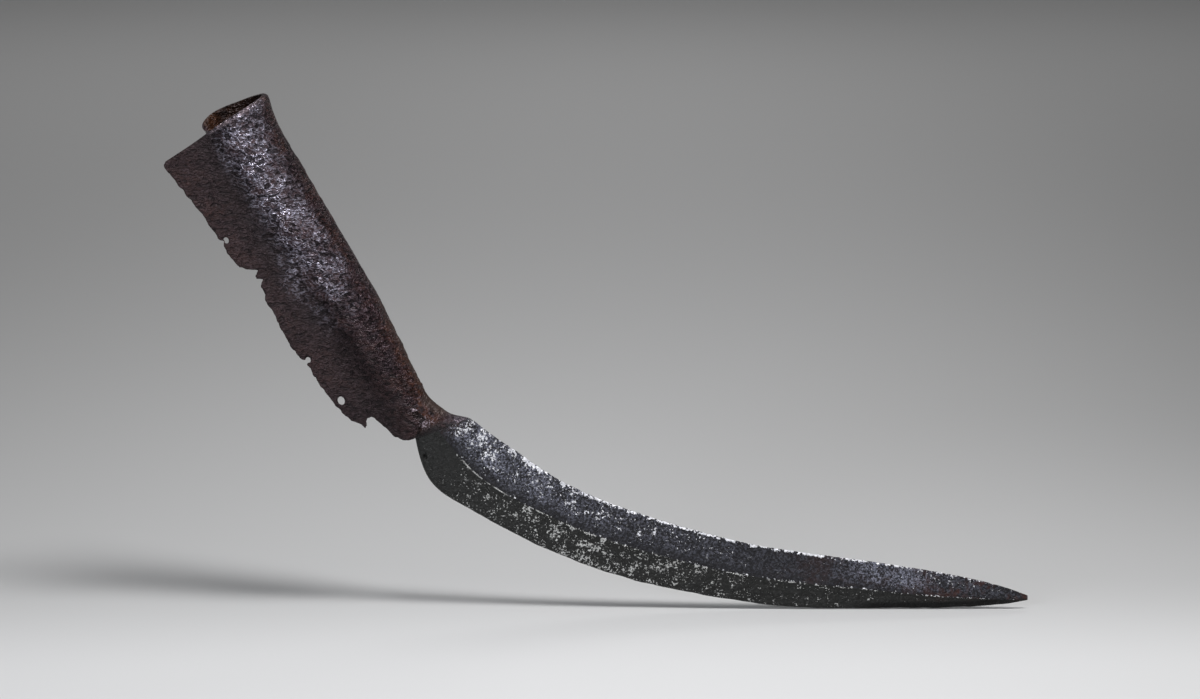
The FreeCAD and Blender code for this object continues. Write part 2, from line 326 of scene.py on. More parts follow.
def beside(cells: Grid) -> Grid:
    """Mark the grid points that touch a marked cell.

    Args:
        cells: One truth value for each cell of the grid.

    Returns:
        One truth value for each point, one more each way than there are cells.
    """
    padded = np.pad(cells, 1)
    return padded[1:, 1:] | padded[:-1, 1:] | padded[1:, :-1] | padded[:-1, :-1]


@dataclass(frozen=True)
class WearHole:
    """Hole rusted through the plate, placed across and down the socket."""

    across: float
    depth: float
    radius: float
    stretch: float


@dataclass
class RolledSocket:
    """Open socket: one plate that runs round the tube, through a valley and out into a flap."""

    thickness: float = 2.4
    seam: float = math.radians(-120.0)
    seam_run: float = 2.0
    valley_radius: float = 14.0
    valley_turn: float = math.radians(44.0)
    wing_top: float = 0.6
    wing_foot: float = 176.0
    rim_round: float = 1.3
    foot_flatten: float = 0.29
    lip: float = 0.35
    lip_depth: float = 1.6
    ragged: float = 0.30
    ragged_cell: float = 2.2
    broad_sway: float = 0.45
    short_sway: float = 0.22
    blow: float = 0.50
    dent: float = 0.36
    grain: float = 0.24
    inner_grain: float = 0.25
    hollow: Tuple[float, float, float] = (-1.8, 161.7, 2.3)
    rows: int = 252
    columns: int = 186
    weather: Weathering = Weathering(11)

    depths: Row = (
        -8.0, -2.0, 2.0, 5.0, 9.0, 15.0, 22.0, 40.0, 60.0, 80.0, 100.0, 120.0, 142.0, 165.0, 176.0, 192.0,
    )
    rights: Row = (
        16.6, 17.2, 18.2, 19.0, 17.7, 16.3, 15.4, 14.4, 13.4, 12.5, 11.8, 10.4, 7.9, 5.1, 4.1, 3.0,
    )
    radii: Row = (
        16.7, 17.0, 17.6, 17.9, 17.2, 16.6, 16.4, 16.0, 15.7, 15.3, 15.0, 14.2, 12.9, 11.8, 11.2, 10.6,
    )
    wings: Row = (
        206.0, 206.0, 206.0, 205.0, 204.0, 203.0, 200.0, 191.0, 180.0, 166.0, 151.0, 137.0, 121.0, 106.0,
        101.0, 96.0,
    )
    flap_edge: Line = (
        (-39.6, 3.6), (-41.3, 4.6), (-41.9, 6.4), (-41.5, 10.0), (-40.7, 17.7), (-40.0, 25.8),
        (-39.1, 33.5), (-39.2, 42.4), (-38.5, 46.6), (-39.2, 48.0), (-38.7, 50.9), (-37.4, 52.6),
        (-38.6, 54.4), (-39.2, 60.6), (-37.8, 67.5), (-34.4, 71.4), (-31.3, 74.0), (-34.0, 75.3),
        (-34.2, 77.4), (-31.8, 79.0), (-34.9, 81.2), (-34.9, 86.0), (-36.8, 88.8), (-36.2, 93.9),
        (-37.5, 103.3), (-38.5, 114.0), (-37.8, 119.0), (-37.6, 122.6), (-36.4, 123.8), (-35.2, 124.4),
        (-35.4, 126.2), (-36.9, 126.8), (-36.3, 130.2), (-37.0, 132.2), (-36.9, 138.9), (-36.5, 147.4),
        (-36.1, 152.3), (-35.2, 159.1), (-33.9, 163.5), (-31.4, 166.9), (-30.8, 169.9),
    )
    foot_edge: Line = (
        (-29.6, 169.2), (-28.6, 167.2), (-27.2, 166.0), (-24.8, 166.7), (-23.3, 169.1), (-21.9, 171.5),
        (-21.0, 174.7), (-21.5, 177.0), (-20.7, 180.6), (-18.6, 183.0), (-17.4, 185.0), (-14.8, 186.8),
        (-12.4, 187.4), (-10.6, 186.0), (-7.0, 183.0), (-2.0, 179.0), (3.4, 175.0),
    )
    far_foot: Line = ((-40.0, 177.5), (-30.0, 177.0))
    mouth_rim: Line = (
        (-82.2, -1.5), (-74.0, -2.8), (-67.0, -3.1), (-60.3, -2.1), (-54.8, -0.75), (-49.3, 0.3),
        (-43.8, 1.3), (-37.0, 2.0), (-28.0, 2.5), (-12.0, 2.5), (2.0, 2.7), (14.0, 3.4),
    )
    holes: Tuple[WearHole, ...] = (
        WearHole(-36.2, 52.7, 1.25, 1.3),
        WearHole(-35.0, 124.9, 1.35, 1.1),
        WearHole(-32.6, 151.2, 1.75, 1.25),
    )

    def middle(self, run: Grid, depth: Grid) -> Tuple[Grid, Grid, Grid]:
        """Middle surface of the plate.

        The run is the length along the bent section from the seam, negative round the tube.
        Round the tube the place is the tube's centre plus its radius at the run's angle; then
        a straight run, an arc of the valley's radius the other way, and the flap's straight.

        Args:
            run: Length along the section.
            depth: Depth below the mouth.

        Returns:
            Place across, place away, and the angle of the outward normal in radians.
        """
        half = self.thickness / 2
        radius = through(self.depths, self.radii, depth) - half
        centre = through(self.depths, self.rights, depth) - radius - half
        seam_x, seam_y = heading(np.full_like(run, self.seam))
        turned = self.seam - np.minimum(run, 0.0) / radius
        straight = np.clip(run, 0.0, self.seam_run)
        bend = np.clip((run - self.seam_run) / self.valley_radius, 0.0, self.valley_turn)
        flat = np.maximum(run - self.seam_run - self.valley_radius * self.valley_turn, 0.0)
        across = centre + radius * np.cos(turned) + straight * seam_y
        away = radius * np.sin(turned) - straight * seam_x
        across += self.valley_radius * (seam_x - np.cos(self.seam + bend))
        away += self.valley_radius * (seam_y - np.sin(self.seam + bend))
        flap_x, flap_y = heading(self.seam + self.valley_turn - math.pi / 2)
        normal = np.where(run < 0, turned, self.seam + bend)
        return across + flat * flap_x, away + flat * flap_y, normal

    def run_at(self, across: Grid, depth: Grid) -> Grid:
        """Run of the point on the near side of the plate that lies so far across.

        A fine row of runs, from the tube's right-hand side to beyond the flap, is worked out at
        each depth, and the wanted place is read off between its neighbours.

        Args:
            across: Place across the socket.
            depth: Depth below the mouth.

        Returns:
            Length along the section from the seam.
        """
        widest_radius, right_turn, beyond_flap = 16.0, -0.66 * math.pi, 48.0
        fine = np.linspace(right_turn * widest_radius, beyond_flap, 500)
        found = []
        for x, y in zip(across, depth):
            found.append(np.interp(-x, -self.middle(fine, np.full_like(fine, y))[0], fine))
        return np.array(found)

    def borders(self, a: Grid, b: Grid) -> Tuple[Grid, Grid, Grid, Grid]:
        """The plate's four edges as runs and depths.

        Args:
            a: Parameters from the far wing's end to the flap's edge.
            b: Parameters from the mouth to the foot.

        Returns:
            Mouth, foot, wing and flap edges, two columns each: run and depth.
        """
        flap = np.array(self.flap_edge)
        foot = np.concatenate([np.array(self.foot_edge)[::-1], flap[-1:]])
        flap = np.stack([self.run_at(*flap.T), flap[:, 1]], -1)
        foot = np.stack([self.run_at(*foot.T), foot[:, 1]], -1)
        wing_ends = np.array([self.wing_top, self.wing_foot])
        top_run, foot_run = self.wing_run(wing_ends)
        foot = np.concatenate([[[foot_run, self.wing_foot]], self.far_foot, foot])

        rim = np.concatenate([[[top_run, self.wing_top]], self.mouth_rim, flap[:1]])
        first, last = rim[0, 0], rim[-1, 0]
        spread = (rim[:, 0] - first) / (last - first)
        mouth = np.stack([first + a * (last - first), through(spread, rim[:, 1], a)], -1)

        down = self.wing_top + b * (self.wing_foot - self.wing_top)
        wing = np.stack([self.wing_run(down), down], -1)
        return mouth, self.traced(foot, a, 31), wing, self.traced(flap, b, 37)

    def wing_run(self, depth: Grid) -> Grid:
        """Run of the far wing's end: the seam opens as the tube goes down.

        Args:
            depth: Depth below the mouth.

        Returns:
            Length along the section from the seam.
        """
        angle = np.radians(through(self.depths, self.wings, depth))
        radius = through(self.depths, self.radii, depth) - self.thickness / 2
        return -(angle - self.seam) * radius

    def traced(self, edge: Grid, at: Grid, layer: int) -> Grid:
        """Follow a worn edge by its length, with the fine raggedness of rust.

        Args:
            edge: Corners of the edge, run and depth.
            at: Parameters from 0 to 1 along it.
            layer: Noise field for the raggedness.

        Returns:
            Points on the edge.
        """
        length = np.concatenate([[0.0], np.cumsum(np.linalg.norm(np.diff(edge, axis=0), axis=1))])
        place = at * length[-1]
        line = np.stack([np.interp(place, length, edge[:, k]) for k in range(2)], -1)
        fade = ramp(at, 0.0, 0.04) * ramp(at, 1.0, 0.97)
        rough = self.weather.rough
        wobble = [rough(place, place * 0 + 5.0 * k, self.ragged_cell, 3, layer + k) for k in range(2)]
        return line + self.ragged * fade[:, None] * np.stack(wobble, -1)

    def from_hole(self, place: Grid, hole: WearHole) -> Tuple[Grid, Grid, Grid]:
        """Measure places from a hole's centre.

        Args:
            place: Runs and depths.
            hole: The hole.

        Returns:
            The centre, the offsets with the hole's stretch taken out, and their lengths.
        """
        centre = np.array([self.run_at([hole.across], [hole.depth])[0], hole.depth])
        offset = (place - centre) / np.array([1.0, hole.stretch])
        return centre, offset, np.linalg.norm(offset, axis=-1)

    def sheet(self) -> Tuple[Grid, Grid]:
        """Grid of runs and depths that fills the four edges, with its holes.

        Each inner point is the blend of the two edge points across and the two edge points
        down, less the blend of the four corners, so every edge is followed exactly. Points
        beside a hole are drawn onto its round, and the quads within it are dropped.

        Returns:
            Runs and depths, and the kept quads.
        """
        a = crowded(self.columns, 0.8, 0.8)
        b = crowded(self.rows, 0.8, 0.6)
        mouth, foot, wing, flap = self.borders(a, b)
        u, v = a[None, :, None], b[:, None, None]
        lines = (1 - v) * mouth[None] + v * foot[None] + (1 - u) * wing[:, None] + u * flap[:, None]
        top_corners = (1 - u) * mouth[0] + u * mouth[-1]
        place = lines - ((1 - v) * top_corners + v * ((1 - u) * foot[0] + u * foot[-1]))
        kept = np.ones((self.rows - 1, self.columns - 1), bool)
        for hole in self.holes:
            centre, offset, gap = self.from_hole(place, hole)
            inside = gap < hole.radius
            dropped = inside[1:, 1:] & inside[:-1, 1:] & inside[1:, :-1] & inside[:-1, :-1]
            kept &= ~dropped
            border = beside(dropped) & beside(~dropped)
            reach = hole.radius * np.array([1.0, hole.stretch])
            round_place = centre + offset / np.maximum(gap, 1e-6)[..., None] * reach
            place = np.where(border[..., None], round_place, place)
        return place, kept

    def relief(self, run: Grid, depth: Grid) -> Tuple[Grid, Grid, Grid]:
        """Hammer work, pits and rust scale, calmer on the flap and round the right-hand side.

        Args:
            run: Length along the section.
            depth: Depth below the mouth.

        Returns:
            Sway of the whole plate, then the skin's height outside and inside, in millimetres.
        """
        w = self.weather
        slant = depth + 0.25 * run
        sway = self.broad_sway * w.swell(run, depth, 26.0, 1) + self.short_sway * w.swell(run, depth, 11.0, 2)
        blows = self.blow * w.swell(run * 0.7, slant * 1.1, 5.6, 3)
        dents = self.dent * w.dents(run * 0.8, slant * 1.2, 3.4, 4)
        grain = self.grain * w.rough(run * 0.7, slant * 1.25, 2.1, 2, 5)
        calm = np.maximum(ramp(run, 4.0, 20.0), ramp(run, -19.0, -29.0))
        outside = (blows + dents + grain) * (1 - 0.65 * calm)
        return sway, outside, self.inner_grain * w.rough(run, depth, 3.0, 3, 9)

    def fold(self, across: Grid, depth: Grid) -> Grid:
        """Bend of the flap's lowest corner, away behind a crease that runs from the hole."""
        beyond = (depth - 151.5) * 0.66 - (across + 33.0) * 0.75
        return np.maximum(beyond, 0.0) * 0.42 * ramp(across, -20.0, -25.0)

    def hollow_at(self, run: Grid, depth: Grid) -> Grid:
        """Shape of the hollow low on the front, dented in and darkened with painted shade: a bell twice as
        long as wide.

        Args:
            run: Length along the section.
            depth: Depth below the mouth.

        Returns:
            Depth of the hollow, from 0 to 1.
        """
        across, down, radius = self.hollow
        centre = self.run_at([across], [down])[0]
        return np.exp(-(((run - centre) / radius) ** 2) - ((depth - down) / (2 * radius)) ** 2)

    def half_thickness(self, run: Grid, depth: Grid, full: Grid) -> Grid:
        """Half of the plate's thickness: less on the flap, at the foot and at every edge.

        Args:
            run: Length along the section.
            depth: Depth below the mouth.
            full: 0 at an edge, rising as a quarter round to 1.

        Returns:
            Half thickness.
        """
        thin = 1 - 0.35 * ramp(run, 10.0, 34.0)
        feather = 1 - 0.9 * ramp(depth, 164.0, 176.0) * ramp(run, 2.0, -8.0)
        return self.thickness / 2 * thin * (0.1 + 0.9 * full) * feather

    def build(self) -> bpy.types.Object:
        """Make the plate: both skins half a thickness from the middle, rounded to every edge.

        Returns:
            The socket's object.
        """
        flat, kept = self.sheet()
        run, depth = flat[..., 0], flat[..., 1]
        sway, outside, inside = self.relief(run, depth)
        across, away, normal = self.middle(run, depth)
        away = away * (1 - self.foot_flatten * ramp(depth, 146.0, 177.0) * ramp(run, 10.0, -4.0))
        away = away + self.fold(across, depth)
        from_mouth, from_foot = travel(flat, 0)
        gaps = [from_mouth, from_foot, *travel(flat, 1)]
        gaps += [self.from_hole(flat, hole)[2] - hole.radius for hole in self.holes]
        gap = np.clip(np.min(gaps, axis=0) / self.rim_round, 0.0, 1.0)
        full = np.sqrt(1 - (1 - gap) ** 2)
        half = self.half_thickness(run, depth, full)
        hollow = self.hollow_at(run, depth)
        normal_x, normal_y = heading(normal)
        out = normal_x[..., None] * ACROSS + normal_y[..., None] * AWAY
        base = across[..., None] * ACROSS + away[..., None] * AWAY + depth[..., None] * DOWN
        base = base + out * (sway * 0.6)[..., None]
        lip = self.lip * np.exp(-((from_mouth - self.lip_depth) ** 2)) * ramp(run, 2.0, -4.0)
        near = base + out * (half + outside * (0.2 + 0.8 * full) + lip - 0.9 * hollow)[..., None]
        far = base - out * (half + inside * full)[..., None]
        rub = 1 - ramp(from_mouth, 1.4, 2.8)
        marks = {
            "run": (run, run),
            "depth": (depth, depth),
            "rim": (rub, rub),
            "within": (np.zeros_like(run), np.ones_like(run)),
            # hollow: also the mask of the painted shade in the dented hollow.
            "hollow": (hollow, np.zeros_like(run)),
        }
        return Shell("rolled_socket", near, far, kept, marks).build()


# --- Neck and blade ---


@dataclass(frozen=True)
class Station:
    """Section of the forging: its two outline points, where the ridge lies and how thick it is."""

    edge: Tuple[float, float]
    back: Tuple[float, float]
    ridge: float
    thick: Tuple[float, float, float]
    roundness: float


@dataclass
class ForgedBlade:
    """Neck and blade as one forging, cut at the scarf and along the weld ridge."""

    rows: int = 760
    edge_columns: int = 56
    back_columns: int = 50
    scarf_station: int = 6
    bevel_hollow: float = 0.10
    outline_round: float = 0.55
    thinnest: float = 0.12
    notch: float = 0.26
    lump: float = 0.22
    sway: float = 0.30
    pit: float = 0.13
    grain: float = 0.10
    flake: float = 0.10
    heel_pit: Tuple[float, float, float] = (95.3, -174.0, 0.95)
    heel_pit_depth: float = 1.1
    weather: Weathering = Weathering(29)

    stations: Tuple[Station, ...] = (
        Station((81.4, -121.7), (68.4, -131.4), 0.5, (10.0, 15.0, 10.0), 1.0),
        Station((88.9, -133.1), (75.4, -142.3), 0.5, (10.0, 15.0, 10.0), 1.0),
        Station((94.0, -139.3), (79.9, -149.0), 0.5, (10.0, 14.6, 10.0), 1.0),
        Station((98.1, -145.1), (83.6, -154.3), 0.5, (9.0, 13.8, 9.0), 1.0),
        Station((102.9, -149.2), (87.0, -159.2), 0.52, (8.0, 12.8, 8.0), 1.0),
        Station((108.6, -153.0), (89.0, -162.8), 0.55, (7.0, 11.8, 7.0), 0.92),
        Station((117.0, -155.0), (90.4, -165.4), 0.56, (5.4, 11.0, 6.0), 0.75),
        Station((120.2, -156.7), (91.5, -170.4), 0.54, (4.2, 10.4, 5.2), 0.55),
        Station((122.9, -158.9), (92.9, -176.0), 0.51, (3.4, 9.8, 4.6), 0.36),
        Station((125.6, -161.0), (94.8, -181.7), 0.49, (2.8, 9.3, 4.2), 0.20),
        Station((128.4, -163.1), (97.9, -187.3), 0.48, (2.4, 8.9, 3.9), 0.10),
        Station((131.5, -165.3), (102.5, -192.0), 0.50, (2.0, 8.5, 3.7), 0.04),
        Station((135.5, -168.0), (109.0, -196.6), 0.525, (1.8, 8.1, 3.5), 0.0),
        Station((141.4, -172.0), (118.0, -201.6), 0.55, (1.5, 7.7, 3.3), 0.0),
        Station((150.0, -178.2), (130.0, -208.5), 0.55, (1.3, 7.3, 3.2), 0.0),
        Station((163.0, -186.6), (146.0, -217.0), 0.525, (1.2, 7.0, 3.1), 0.0),
        Station((183.1, -196.2), (168.0, -226.7), 0.525, (1.2, 6.6, 3.0), 0.0),
        Station((205.0, -204.2), (192.0, -235.3), 0.515, (1.2, 6.2, 2.9), 0.0),
        Station((230.0, -211.8), (219.0, -242.1), 0.52, (1.2, 5.8, 2.8), 0.0),
        Station((258.0, -218.9), (250.0, -247.7), 0.53, (1.2, 5.4, 2.6), 0.0),
        Station((288.0, -223.8), (282.0, -251.5), 0.54, (1.2, 4.9, 2.5), 0.0),
        Station((318.0, -227.9), (314.0, -252.0), 0.58, (1.1, 4.3, 2.3), 0.0),
        Station((344.0, -231.9), (342.0, -251.8), 0.65, (1.1, 3.7, 2.1), 0.0),
        Station((364.0, -235.6), (363.0, -251.5), 0.68, (1.0, 3.1, 1.9), 0.0),
        Station((380.0, -239.3), (379.6, -250.5), 0.71, (0.9, 2.5, 1.6), 0.0),
        Station((390.5, -242.5), (390.4, -249.4), 0.74, (0.8, 1.9, 1.3), 0.0),
        Station((396.2, -244.7), (396.2, -248.3), 0.74, (0.7, 1.3, 1.0), 0.0),
        Station((398.4, -245.5), (398.4, -247.8), 0.70, (0.4, 0.6, 0.4), 0.0),
    )

    def knots(self) -> Grid:
        """Place of each station along the forging: the length of the line of their middles."""
        middles = np.array([(np.array(s.edge) + np.array(s.back)) / 2 for s in self.stations])
        return np.concatenate([[0.0], np.cumsum(np.linalg.norm(np.diff(middles, axis=0), axis=1))])

    def places(self, knots: Grid) -> Tuple[Grid, int]:
        """Place of each row: even down the neck, closer together towards the tip.

        Args:
            knots: Place of each station.

        Returns:
            The places, and the number of the scarf's row.
        """
        scarf_at, tip_at = knots[self.scarf_station], knots[-1]
        scarf_row = int(round(self.rows * scarf_at / tip_at))
        neck = np.linspace(0.0, scarf_at, scarf_row + 1)
        blade = scarf_at + (tip_at - scarf_at) * crowded(self.rows - scarf_row, 0.0, 0.75)
        return np.concatenate([neck, blade[1:]]), scarf_row

    def section(self, q: Grid, gap: Grid, ridge: Grid, thick: Grid, roundness: Grid) -> Tuple[Grid, Grid]:
        """Thickness across the sections.

        It blends a half ellipse, for the neck, with two bevels that rise in slightly hollow
        lines to the ridge, for the blade, each rounded off at the outline.

        Args:
            q: Parameter across, from 0 at the edge's outline to 1 at the back's.
            gap: Distance to the nearest outline.
            ridge: The ridge's parameter.
            thick: Thickness at the edge, at the ridge and at the back.
            roundness: Share of the ellipse.

        Returns:
            Thickness, and the height up the bevel from 0 at an outline to 1 at the ridge.
        """
        at_edge, at_ridge, at_back = (thick[:, k : k + 1] for k in range(3))
        rise = np.where(q < ridge, q / ridge, (1 - q) / (1 - ridge))
        ends = np.where(q < ridge, at_edge, at_back)
        bevel = ends + (at_ridge - ends) * (rise + self.bevel_hollow * rise * (rise - 1))
        bevel = bevel * np.sqrt(1 - (1 - np.clip(gap / (self.outline_round * ends), 0, 1)) ** 2)
        oval = at_ridge * np.sqrt(np.clip(1 - (2 * q - 1) ** 2, 0, 1))
        return np.maximum(roundness * oval + (1 - roundness) * bevel, self.thinnest), rise

    def wear(self, u: Grid, v: Grid, chord: Grid, knots: Grid) -> Grid:
        """Chips out of the cutting edge and lumps on the back, which fade out at the tip.

        Args:
            u: Length along the forging.
            v: Distance from the edge's outline.
            chord: Width of the section.
            knots: Place of each station.

        Returns:
            How far each point of the outline moves towards the back.
        """
        w = self.weather
        scarf_at, from_tip = knots[self.scarf_station], ramp(knots[-1] - u, 0.0, 25.0)
        notch = self.notch * w.rough(u, 0 * u, cell=3.4, octaves=3, layer=3)
        notch = notch * ramp(u, scarf_at, scarf_at + 20)
        chip = notch * ramp(v, 2.5, 0.0) * from_tip
        lump = self.lump * w.rough(u, 0 * u + 50.0, cell=9.0, octaves=3, layer=5)
        return np.abs(chip) - np.maximum(lump * ramp(chord - v, 2.5, 0.0) * from_tip, -0.2)

    def skin(self, u: Grid, v: Grid, thickness: Grid, layer: int) -> Tuple[Grid, Grid]:
        """Height of a face over the middle plane, and the hammered and pitted relief on it.

        Args:
            u: Length along the forging.
            v: Distance from the edge's outline.
            thickness: The section's thickness.
            layer: First of the face's noise fields.

        Returns:
            Half of the thickness, and the relief to add to it.
        """
        w = self.weather
        sway = self.sway * w.swell(u, v, cell=21.0, layer=layer + 1)
        pits = self.pit * w.dents(u, v, cell=1.9, layer=layer + 2)
        grain = self.grain * w.rough(u, v, cell=1.7, octaves=2, layer=layer + 3)
        flakes = self.flake * w.swell(u, v, cell=4.6, layer=layer + 4)
        return thickness / 2, sway * ramp(thickness, 1.0, 4.0) + (pits + grain) + flakes

    def grids(self) -> Tuple[Grid, Grid, Dict[str, Grid], int]:
        """Both faces of the whole forging.

        A section is a straight line from the edge's outline to the back's, with the thickness
        and the relief added square to the middle plane on both sides.

        Returns:
            Near face, far face, marks, and the row of the scarf.
        """
        knots = self.knots()
        along, scarf_row = self.places(knots)
        edge, back, ridge, thick, roundness = (
            through(knots, [getattr(station, name) for station in self.stations], along)
            for name in ("edge", "back", "ridge", "thick", "roundness")
        )
        ridge, roundness = ridge[:, None], roundness[:, None]
        chord = np.linalg.norm(edge - back, axis=1)[:, None]
        first = crowded(self.edge_columns + 1, 0.85, 0.0)[None]
        second = crowded(self.back_columns + 1, 0.0, 0.85)[None]
        q = np.concatenate([ridge * first, (ridge + (1 - ridge) * second)[:, 1:]], axis=1)
        gap = np.minimum(q, 1 - q) * chord
        thickness, rise = self.section(q, gap, ridge, thick, roundness)

        u, v = along[:, None] + 0 * q, q * chord
        flat = edge[:, None] * (1 - q[..., None]) + back[:, None] * q[..., None]
        toward = ((back - edge) / np.maximum(chord, 1e-6))[:, None]
        flat = flat + toward * self.wear(u, v, chord, knots)[..., None]
        pit_x, pit_z, pit_radius = self.heel_pit
        pit = np.exp(-(((flat[..., 0] - pit_x) ** 2 + (flat[..., 1] - pit_z) ** 2) / pit_radius**2) ** 2)
        calm = ramp(gap, 0.0, 1.6) * ramp(along[-1] - u, 0.0, 12.0)
        faces: List[Grid] = []
        for side, layer in ((-1.0, 0), (1.0, 40)):
            half, relief = self.skin(u, v, thickness, layer)
            offset = half + relief * calm - self.heel_pit_depth * pit * (side < 0)
            faces.append(np.stack([flat[..., 0], side * np.maximum(offset, 0.05), flat[..., 1]], -1))
        marks = {"along": u - knots[self.scarf_station], "drop": v, "bevel": rise, "gap": gap, "pit": pit}
        return faces[0], faces[1], marks, scarf_row

    def piece(self, name: str, rows: slice, columns: slice, grids: Sequence) -> bpy.types.Object:
        """Cut one iron out of the forging's grids and close it.

        Args:
            name: The object's name.
            rows: Rows to keep.
            columns: Columns to keep.
            grids: Near face, far face and marks of the whole forging.

        Returns:
            The iron's object.
        """
        near, far, marks = grids
        cut = {key: (value[rows, columns], value[rows, columns]) for key, value in marks.items()}
        return Shell(name, near[rows, columns], far[rows, columns], None, cut).build()

    def build(self) -> List[bpy.types.Object]:
        """Make the neck, the iron back and the steel edge, which share their cut lines.

        Returns:
            The three objects.
        """
        *grids, scarf = self.grids()
        ridge = self.edge_columns
        return [
            self.piece("drawn_neck", slice(0, scarf + 1), slice(None), grids),
            self.piece("iron_back", slice(scarf, None), slice(ridge, None), grids),
            self.piece("steel_edge", slice(scarf, None), slice(0, ridge + 1), grids),
        ]


# --- Finishes ---

Colour = Tuple[float, float, float, float]
Span = Tuple[float, float]
Stops = Tuple[Span, ...]
Socket = bpy.types.NodeSocket
Value = Union[float, Socket]


class Wiring:
    """Short way to add and join shader nodes."""

    def __init__(self, tree: bpy.types.NodeTree) -> None:
        """Take a node tree."""
        self.tree = tree

    def feed(self, socket: Socket, value: object) -> None:
        """Join an output to a socket, or set the socket's own value.

        Args:
            socket: The input to feed.
            value: An output, or a plain value.
        """
        if isinstance(value, Socket):
            self.tree.links.new(value, socket)
        else:
            socket.default_value = value

    def add(self, kind: str, values: Optional[Dict] = None, **settings: object) -> bpy.types.Node:
        """Add a node.

        Args:
            kind: Blender's node type.
            values: Socket name or number to a value, or to an output socket to join.
            settings: The node's own properties.

        Returns:
            The node.
        """
        node = self.tree.nodes.new(kind)
        for name, value in settings.items():
            setattr(node, name, value)
        for name, value in (values or {}).items():
            self.feed(node.inputs[name], value)
        return node

    def math(self, operation: str, first: Value, second: Value = 0.0) -> Socket:
        """Join a Math node and return its result."""
        return self.add("ShaderNodeMath", {0: first, 1: second}, operation=operation).outputs[0]

    def times(self, *values: Value) -> Socket:
        """Multiply several values."""
        return reduce(lambda a, b: self.math("MULTIPLY", a, b), values)

    def plus(self, *values: Value) -> Socket:
        """Add several values."""
        return reduce(lambda a, b: self.math("ADD", a, b), values)

    def step(self, value: Value, low: Value, high: Value, start: Value = 0.0, end: Value = 1.0) -> Socket:
        """Map a value smoothly from low..high to start..end, clamped."""
        values = {"Value": value, "From Min": low, "From Max": high, "To Min": start, "To Max": end}
        return self.add("ShaderNodeMapRange", values, interpolation_type="SMOOTHSTEP").outputs["Result"]

    def band(self, value: Value, *spans: Span) -> Socket:
        """Multiply the steps of one value over several spans."""
        return self.times(*(self.step(value, *span) for span in spans))

    def zones(self, value: Value, stops: Stops) -> Socket:
        """Read a level that changes in straight lines from stop to stop.

        Args:
            value: A length in millimetres.
            stops: Lengths and the levels there, from 0 to 1, in rising order.

        Returns:
            The level.
        """
        last = stops[-1][0]
        node = self.add("ShaderNodeValToRGB", {"Fac": self.math("DIVIDE", value, last)})
        points = node.color_ramp.elements
        while len(points) < len(stops):
            points.new(1.0)
        for point, (length, level) in zip(points, stops):
            point.position = length / last
            point.color = (level, level, level, 1.0)
        return node.outputs["Color"]

    def mix(self, factor: Value, first: object, second: object) -> Socket:
        """Blend two colours."""
        return self.add("ShaderNodeMix", {0: factor, 6: first, 7: second}, data_type="RGBA").outputs[2]

    def layers(self, base: object, coats: Sequence[Tuple[Value, object]]) -> Socket:
        """Lay coats of colour over a base, each through its own mask, in order."""
        return reduce(lambda under, coat: self.mix(coat[0], under, coat[1]), coats, base)

    def noise(
        self, vector: Socket, scale: Value, detail: float = 3.0, rough: float = 0.55, warp: float = 0.0
    ) -> Socket:
        """Noise texture's value, about 0.5 in the middle."""
        values = {"Vector": vector, "Scale": scale, "Detail": detail, "Roughness": rough, "Distortion": warp}
        return self.add("ShaderNodeTexNoise", values).outputs["Fac"]

    def mark(self, name: str) -> Socket:
        """Read one of the mesh's own attributes."""
        return self.add("ShaderNodeAttribute", attribute_name=name).outputs["Fac"]

    def bump(self, shader: bpy.types.Node, height: Socket, strength: float, distance: float) -> None:
        """Raise a shader's surface by a height, over a distance in metres."""
        values = {"Height": height, "Strength": strength, "Distance": distance}
        self.feed(shader.inputs["Normal"], self.add("ShaderNodeBump", values).outputs[0])


def new_group(
    name: str, inputs: Dict[str, Tuple[str, object]], outputs: Sequence[str]
) -> Tuple[bpy.types.NodeTree, Wiring, bpy.types.Node, bpy.types.Node]:
    """Start a shader node group with named sockets.

    Args:
        name: The group's name.
        inputs: Socket name to its kind and default.
        outputs: Names of its number outputs.

    Returns:
        The group, its wiring, its input node and its output node.
    """
    group = bpy.data.node_groups.new(name, "ShaderNodeTree")
    for label, (kind, default) in inputs.items():
        socket = group.interface.new_socket(label, in_out="INPUT", socket_type=f"NodeSocket{kind}")
        if default is not None:
            socket.default_value = default
    for label in outputs:
        group.interface.new_socket(label, in_out="OUTPUT", socket_type="NodeSocketFloat")
    w = Wiring(group)
    return group, w, w.add("NodeGroupInput"), w.add("NodeGroupOutput")


def fleck_group() -> bpy.types.NodeTree:
    """Bare flecks: broken specks of fine noise, cut at a height that falls as their cover rises.

    Returns:
        The group, which puts out the flecks' mask.
    """
    inputs = {
        "Vector": ("Vector", None),
        "Cover": ("Float", 0.3),
        "Size": ("Float", 700.0),
        "Edge": ("Float", 0.05),
    }
    group, w, given, out = new_group("bare_flecks", inputs, ("Mask",))
    vector, size = given.outputs["Vector"], given.outputs["Size"]
    fine = w.noise(vector, size, 2.5, 0.7)
    broad = w.noise(vector, w.math("MULTIPLY", size, 0.40), 1.0)
    blend = w.plus(w.times(fine, 0.78), w.times(broad, 0.22))
    cut = {"Value": given.outputs["Cover"], "To Min": 0.72, "To Max": 0.38}
    limit = w.add("ShaderNodeMapRange", cut).outputs["Result"]
    w.feed(out.inputs["Mask"], w.step(blend, limit, w.plus(limit, given.outputs["Edge"])))
    return group


